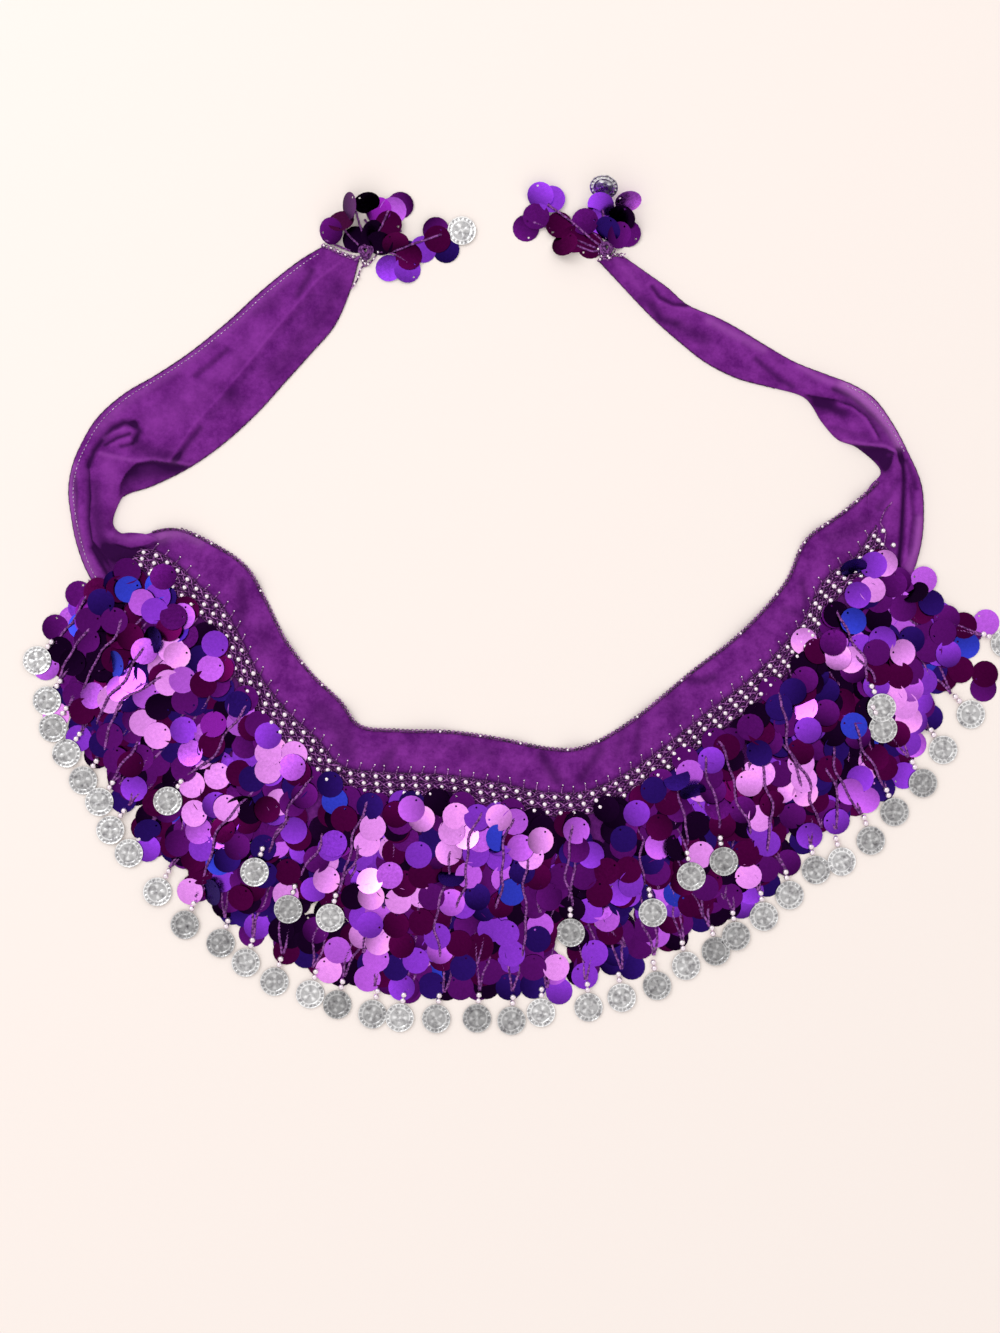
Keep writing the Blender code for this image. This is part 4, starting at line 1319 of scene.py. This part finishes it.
def tucked(points):
    """A cord that lies on top, with both its ends dipped under the spangles."""
    ends = (min(k, len(points) - 1 - k) for k in range(len(points)))
    return [(x, y, max(z - TUCKED * max(0, 1 - k / 4), CORD_RADIUS + 0.3)) for (x, y, z),
        k in zip(points, ends)]


def clear_of(path, coins):
    """A cord's path, ended where it would cross a coin."""
    def crosses(p):
        return any(math.hypot(p[0] - x, p[1] - y) < COIN + 1 for x, y in coins)
    return list(itertools.takewhile(lambda p: not crosses(p), path))


def eased(path):
    """A smooth line of points through the few that are given."""
    points = [Vector(p) for p in path]
    return [tuple(smooth(points, k / 8)) for k in range(8 * (len(points) - 1) + 1)]


laid_rows = []
coin_places = []


def clear_of_coins(place_on):
    return all((place_on - c).length > 2 * COIN for c in coin_places)


for row in ROWS:
    draw = np.random.default_rng(row.seed)
    sections = even_sections(row)
    under, over, discs, ends = [], [], [], []
    for n, section in enumerate(sections):
        start = root_reach(row, section) + 1
        tail = depth_at(section) + drop_at(section) * (row.coin_reach if n in row.coins else row.reach)
        stop = tail - COIN - BEADS_ABOVE[-1] - 1 if n in row.coins else tail
        own = draw.normal(0, 0.8)
        drift, bend = draw.normal(0, 3.5), draw.normal(0, 3.0)
        shows = n in row.coins and row.root < 1
        for way in (-1, 1):
            sway = draw.uniform(0, 6, 2)
            wide = CORD_SPREAD * draw.uniform(0.6, 1.3)
            path = []
            for reach in np.arange(start, stop, 2.0):
                closing = min(1, (stop - reach) / 22)
                wander = 1.6 * math.sin(reach / 9 + sway[0]) + 0.9 * math.sin(reach / 4 + sway[1])
                share = (reach - start) / (stop - start)
                off = swayed(share, drift, bend, n in row.coins)
                point, _ = strand_point(section, reach, off + (way * wide + wander) * closing)
                path.append(tuple(point))
            (over if draw.random() < OVER_SHARE or (shows and way == 1) else under).append(path)
            for reach in np.arange(start + 3 + draw.uniform(0, 4), stop - 3, SPANGLE_PITCH):
                own = 0.45 * own + 0.9 * draw.normal(0, 0.9)
                share = (reach - start) / (stop - start)
                aside = swayed(share, drift, bend, n in row.coins) + way * wide + draw.normal(0, 3.0)
                point, ahead = strand_point(section, reach + draw.normal(0, 2.5), aside)
                discs.append((reach + draw.normal(0, 8), point, ahead, foil_at(*point, own)))
        if n in row.coins:
            point, ahead = strand_point(section, tail + draw.normal(0, 1.2), draw.normal(0, 1.5))
            ends.append((point, ahead))
    coin_places += [point for point, _ in ends]
    if row is ROWS[-1]:
        for foil in FOILS:
            for place_on in TOP_SPANGLES[foil.name]:
                away = Vector(place_on) - FAN_CENTRE
                discs.append((away.length - TOP_ORDER, Vector(place_on), away.normalized(), foil))
    under = [lie_on_pile(path, CORD_RADIUS) for path in under]

    turns, points, tints, picks = [], [], [], []
    for order, point, ahead, foil in sorted(discs, key=lambda d: -d[0]):
        on_top = order < 0 and foil.name in STEEP_FOILS
        steep = on_top and draw.random() < STEEP_SHARE and clear_of_coins(point)
        lean = draw.normal(0, LEAN_SPREAD, 2)
        if steep:
            tip, way = draw.uniform(*STEEP_TIPS), draw.uniform(0, 2 * math.pi)
            lean = np.array((tip * math.cos(way), tip * math.sin(way)))
        shape = draw.choice(len(SHAPES), p=SHAPE_SHARES)
        height, slope = lay(*point, spangle_patch, SPANGLE, SPANGLE_WALL + abs(SHAPES[shape][0]), lean)
        spin = math.atan2(-ahead.y, -ahead.x) - math.pi / 2 + draw.normal(0, 0.6)
        turns.append(facing(slope, spin))
        points.append((*point, height))
        tints.append(tinted(foil, draw.uniform(0.85, 1.15)))
        picks.append(shape)
    piece = strung(f"{row.name}_spangles", spangles, points, foil_finish, turns=turns, tints=tints,
        picks=picks)
    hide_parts(*(f"{row.name}_fringe_{k + 1}" for k in range(STRETCHES)))
    laid_rows.append((row, draw, piece, under, over, ends))

# Coins, their beads and some of the cords lie on top of the spangles
for row, draw, spangle_piece, under, over, ends in laid_rows:
    coin_points, coin_turns, bead_points = [], [], []
    for point, ahead in ends:
        height, slope = lay(*point, coin_patch, COIN, COIN_WALL, draw.normal(0, 0.06, 2))
        coin_points.append((*point, height + COIN_LIFT))
        coin_turns.append(facing(slope, draw.uniform(0, 6)))
        for away in BEADS_ABOVE:
            place_on = point - ahead * (COIN + away)
            below = min(pile_at(*place_on) * SETTLED, HIGHEST - FRINGE_BEAD / 2)
            bead_points.append((*place_on, below + FRINGE_BEAD / 2))
    worn = [(w, w, w, 1) for w in draw.uniform(*COIN_SHINE, len(ends))]
    coin_piece = strung(f"{row.name}_coins", coins, coin_points, coin_silver, turns=coin_turns, tints=worn)
    sizes = [FRINGE_BEAD / BEAD_SIZE] * len(bead_points)
    bead_piece = strung(f"{row.name}_beads", beads, bead_points, bead_silver, sizes=sizes)
    over = [tucked(lie_on_pile(path, CORD_RADIUS)) for path in (clear_of(p,
        coin_places) for p in over) if path]
    cord_piece = cords(f"{row.name}_cords", under + over, CORD_RADIUS, mauve, step=1.5, pitch=7.0)
    for piece in (spangle_piece, coin_piece, bead_piece, cord_piece):
        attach(piece, "root")

# Each tie ends in a tassel: a crocheted knot with a few short spangled strands, one with a
# coin. Their spangles are listed one by one, in mm, from the lowest to the highest, with the
# slope of each.
Spangle = namedtuple("Spangle", "x y foil slope_x slope_y")
Tassel = namedtuple("Tassel", "node knot tip coin coin_slope spangles strands edging")
TASSELS = [
    Tassel(
        "left_tassel",
        (-113, 247),
        (-121, 241),
        (-46, 262),
        (0.05, 0.05),
        [
            Spangle(-137, 261, "plum", 0.5, 0.3),
            Spangle(-130, 268, "maroon", 0.2, -0.6),
            Spangle(-84, 246, "indigo", 0.1, 0.1),
            Spangle(-97, 236, "violet", 0.1, -0.1),
            Spangle(-84, 235, "violet", -0.1, -0.1),
            Spangle(-57, 249, "indigo", 0.1, 0.0),
            Spangle(-64, 262, "plum", -0.2, 0.4),
            Spangle(-73, 249, "violet", 0.0, 0.2),
            Spangle(-89, 280, "plum", 0.1, 0.1),
            Spangle(-94, 276, "orchid", -0.3, 0.3),
            Spangle(-104, 276, "plum", 0.2, -0.2),
            Spangle(-124, 278, "plum", 1.5, 0.2),
            Spangle(-112, 280, "black", -0.4, 1.4),
            Spangle(-120, 256, "black", 0.1, 0.1),
            Spangle(-108, 259, "black", -0.9, 0.5),
            Spangle(-97, 266, "maroon", 0.1, -0.2),
            Spangle(-103, 252, "black", 0.2, 0.9),
            Spangle(-92, 252, "maroon", -0.3, 1.3),
            Spangle(-83, 244, "maroon", 0.1, 0.1),
            Spangle(-63, 256, "maroon", 0.2, 0.1),
        ],
        [
            [(-142, 256), (-134, 252), (-124, 248)],
            [(-132, 270), (-126, 260), (-118, 252)],
            [(-120, 276), (-117, 265), (-112, 254)],
            [(-97, 275), (-102, 264), (-108, 255)],
            [(-84, 240), (-94, 246), (-104, 248)],
            [(-60, 259), (-78, 253), (-92, 248), (-104, 247)],
            [(-88, 262), (-98, 258), (-107, 251), (-112, 247)],
            [(-114, 270), (-110, 262), (-113, 251)],
        ],
        [
            [(-144, 252), (-136, 249), (-128, 245), (-119, 243), (-111, 245)],
            [(-112, 246), (-113, 240), (-117, 235), (-119, 228), (-123, 222)],
            [(-104, 248), (-108, 242), (-113, 238), (-116, 243)],
        ],
    ),
    Tassel(
        "right_tassel",
        (55, 249),
        (58, 243),
        (53, 291),
        (0.2, 1.2),
        [
            Spangle(-1, 264, "plum", 0.1, 0.1),
            Spangle(6, 272, "plum", 0.3, 0.1),
            Spangle(17, 284, "violet", 0.1, 0.1),
            Spangle(9, 286, "violet", 0.2, 0.5),
            Spangle(70, 281, "orchid", -0.2, 1.5),
            Spangle(70, 260, "plum", 0.2, 0.2),
            Spangle(66, 270, "black", 0.5, 0.9),
            Spangle(44, 252, "maroon", 0.1, 0.2),
            Spangle(26, 252, "maroon", 0.4, -0.4),
            Spangle(22, 266, "maroon", 0.1, -0.2),
            Spangle(51, 279, "violet", 0.2, 0.8),
            Spangle(51, 269, "violet", -0.3, 0.3),
            Spangle(33, 256, "maroon", -0.2, 0.1),
            Spangle(40, 268, "plum", 0.1, 0.2),
            Spangle(56, 262, "indigo", 0.7, 0.9),
            Spangle(64, 258, "plum", -0.5, 0.4),
        ],
        [
            [(4, 268), (20, 262), (38, 254), (48, 250)],
            [(14, 280), (28, 270), (42, 258), (50, 252)],
            [(34, 252), (44, 248), (50, 248)],
            [(52, 278), (54, 266), (55, 256)],
            [(70, 276), (65, 264), (59, 254)],
            [(56, 286), (60, 272), (57, 256)],
            [(44, 262), (50, 257), (55, 250)],
        ],
        [
            [(49, 241), (55, 243), (61, 245), (68, 244)],
            [(49, 250), (52, 244), (58, 242), (61, 248)],
        ],
    ),
]
KNOT_COILS = 5
KNOT_TALL = 5.5
LOOP_PITCH = 2.6
LOOP_WIDE = 1.3
SEED_EVERY = 5.5
foil_of = {foil.name: foil for foil in FOILS}

for tassel in TASSELS:
    draw = np.random.default_rng(len(tassel.spangles))
    low_paths = [lie_on_pile(eased(path), CORD_RADIUS) for path in tassel.strands[::2]]
    turns, points, tints, picks = [], [], [], []
    for disc in tassel.spangles:
        slope = np.array((disc.slope_x, disc.slope_y))
        height, slope = lay(disc.x, disc.y, spangle_patch, SPANGLE, SPANGLE_WALL, slope)
        turns.append(facing(slope, draw.uniform(0, 6)))
        points.append((disc.x, disc.y, height))
        tints.append(tinted(foil_of[disc.foil], draw.uniform(0.85, 1.15)))
        picks.append(draw.choice(4))
    hung = strung(
        f"{tassel.node}_spangles", spangles, points, foil_finish, turns=turns, tints=tints, picks=picks
    )
    height, slope = lay(*tassel.coin, coin_patch, COIN, COIN_WALL, tassel.coin_slope)
    pendant = strung(
        f"{tassel.node}_coin",
        coins,
        [(*tassel.coin, height)],
        coin_silver,
        turns=[facing(slope, 0.4)],
        tints=[(1.3, 1.3, 1.3, 1)],
    )
    coils = []
    for k in range(KNOT_COILS):
        spin, radius = k * 2.1, 5.0 - 0.7 * k
        turn_points = [
            (
                tassel.knot[0] + radius * math.cos(a + spin) * (0.9 + 0.2 * math.sin(3 * a)),
                tassel.knot[1] + radius * math.sin(a + spin),
                2.6 + KNOT_TALL * k / KNOT_COILS + 1.2 * math.sin(2 * a + k),
            )
            for a in np.linspace(0, 2 * math.pi, 25)
        ]
        coils.append(turn_points)
    tip = [(*tassel.tip, 2.0), (*((a + b) / 2 for a, b in zip(tassel.tip, tassel.knot)), 3.0),
        (*tassel.knot, 3.5)]
    strands = low_paths + [lie_on_pile(eased(path), CORD_RADIUS, 0) for path in tassel.strands[1::2]]
    corded = cords(f"{tassel.node}_cords", [*coils, tip, *strands], CORD_RADIUS * 0.85, mauve,
        step=1.2, pitch=5.0)
    # Crochet loops and seed beads finish the end of the tie
    loops, edge_seeds = [], []
    for path in tassel.edging:
        line = np.array(eased(path))
        run = run_along(line)
        at = np.arange(0, run[-1], LOOP_PITCH / 6)
        for way in (1, -1):
            loop = []
            for r in at:
                x, y = (np.interp(r, run, line[:, k]) for k in (0, 1))
                off = way * LOOP_WIDE * math.sin(math.pi * r / LOOP_PITCH)
                loop.append((x + off * 0.5, y + off, pile_at(x, y) * SETTLED + 0.8))
            loops.append(loop)
        for r in np.arange(draw.uniform(1, 3), run[-1], SEED_EVERY):
            x, y = (np.interp(r, run, line[:, k]) for k in (0, 1))
            edge_seeds.append((x, y, pile_at(x, y) * SETTLED + 1.9))
    looped = cords(f"{tassel.node}_loops", loops, NET_THREAD, plum_thread, step=0.8, pitch=3.0)
    small = [SEED_SIZE / BEAD_SIZE] * len(edge_seeds)
    seeded = strung(f"{tassel.node}_seeds", beads, edge_seeds, bead_silver, sizes=small)
    for piece in (hung, pendant, corded, looped, seeded):
        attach(piece, "root")
    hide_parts(tassel.node)
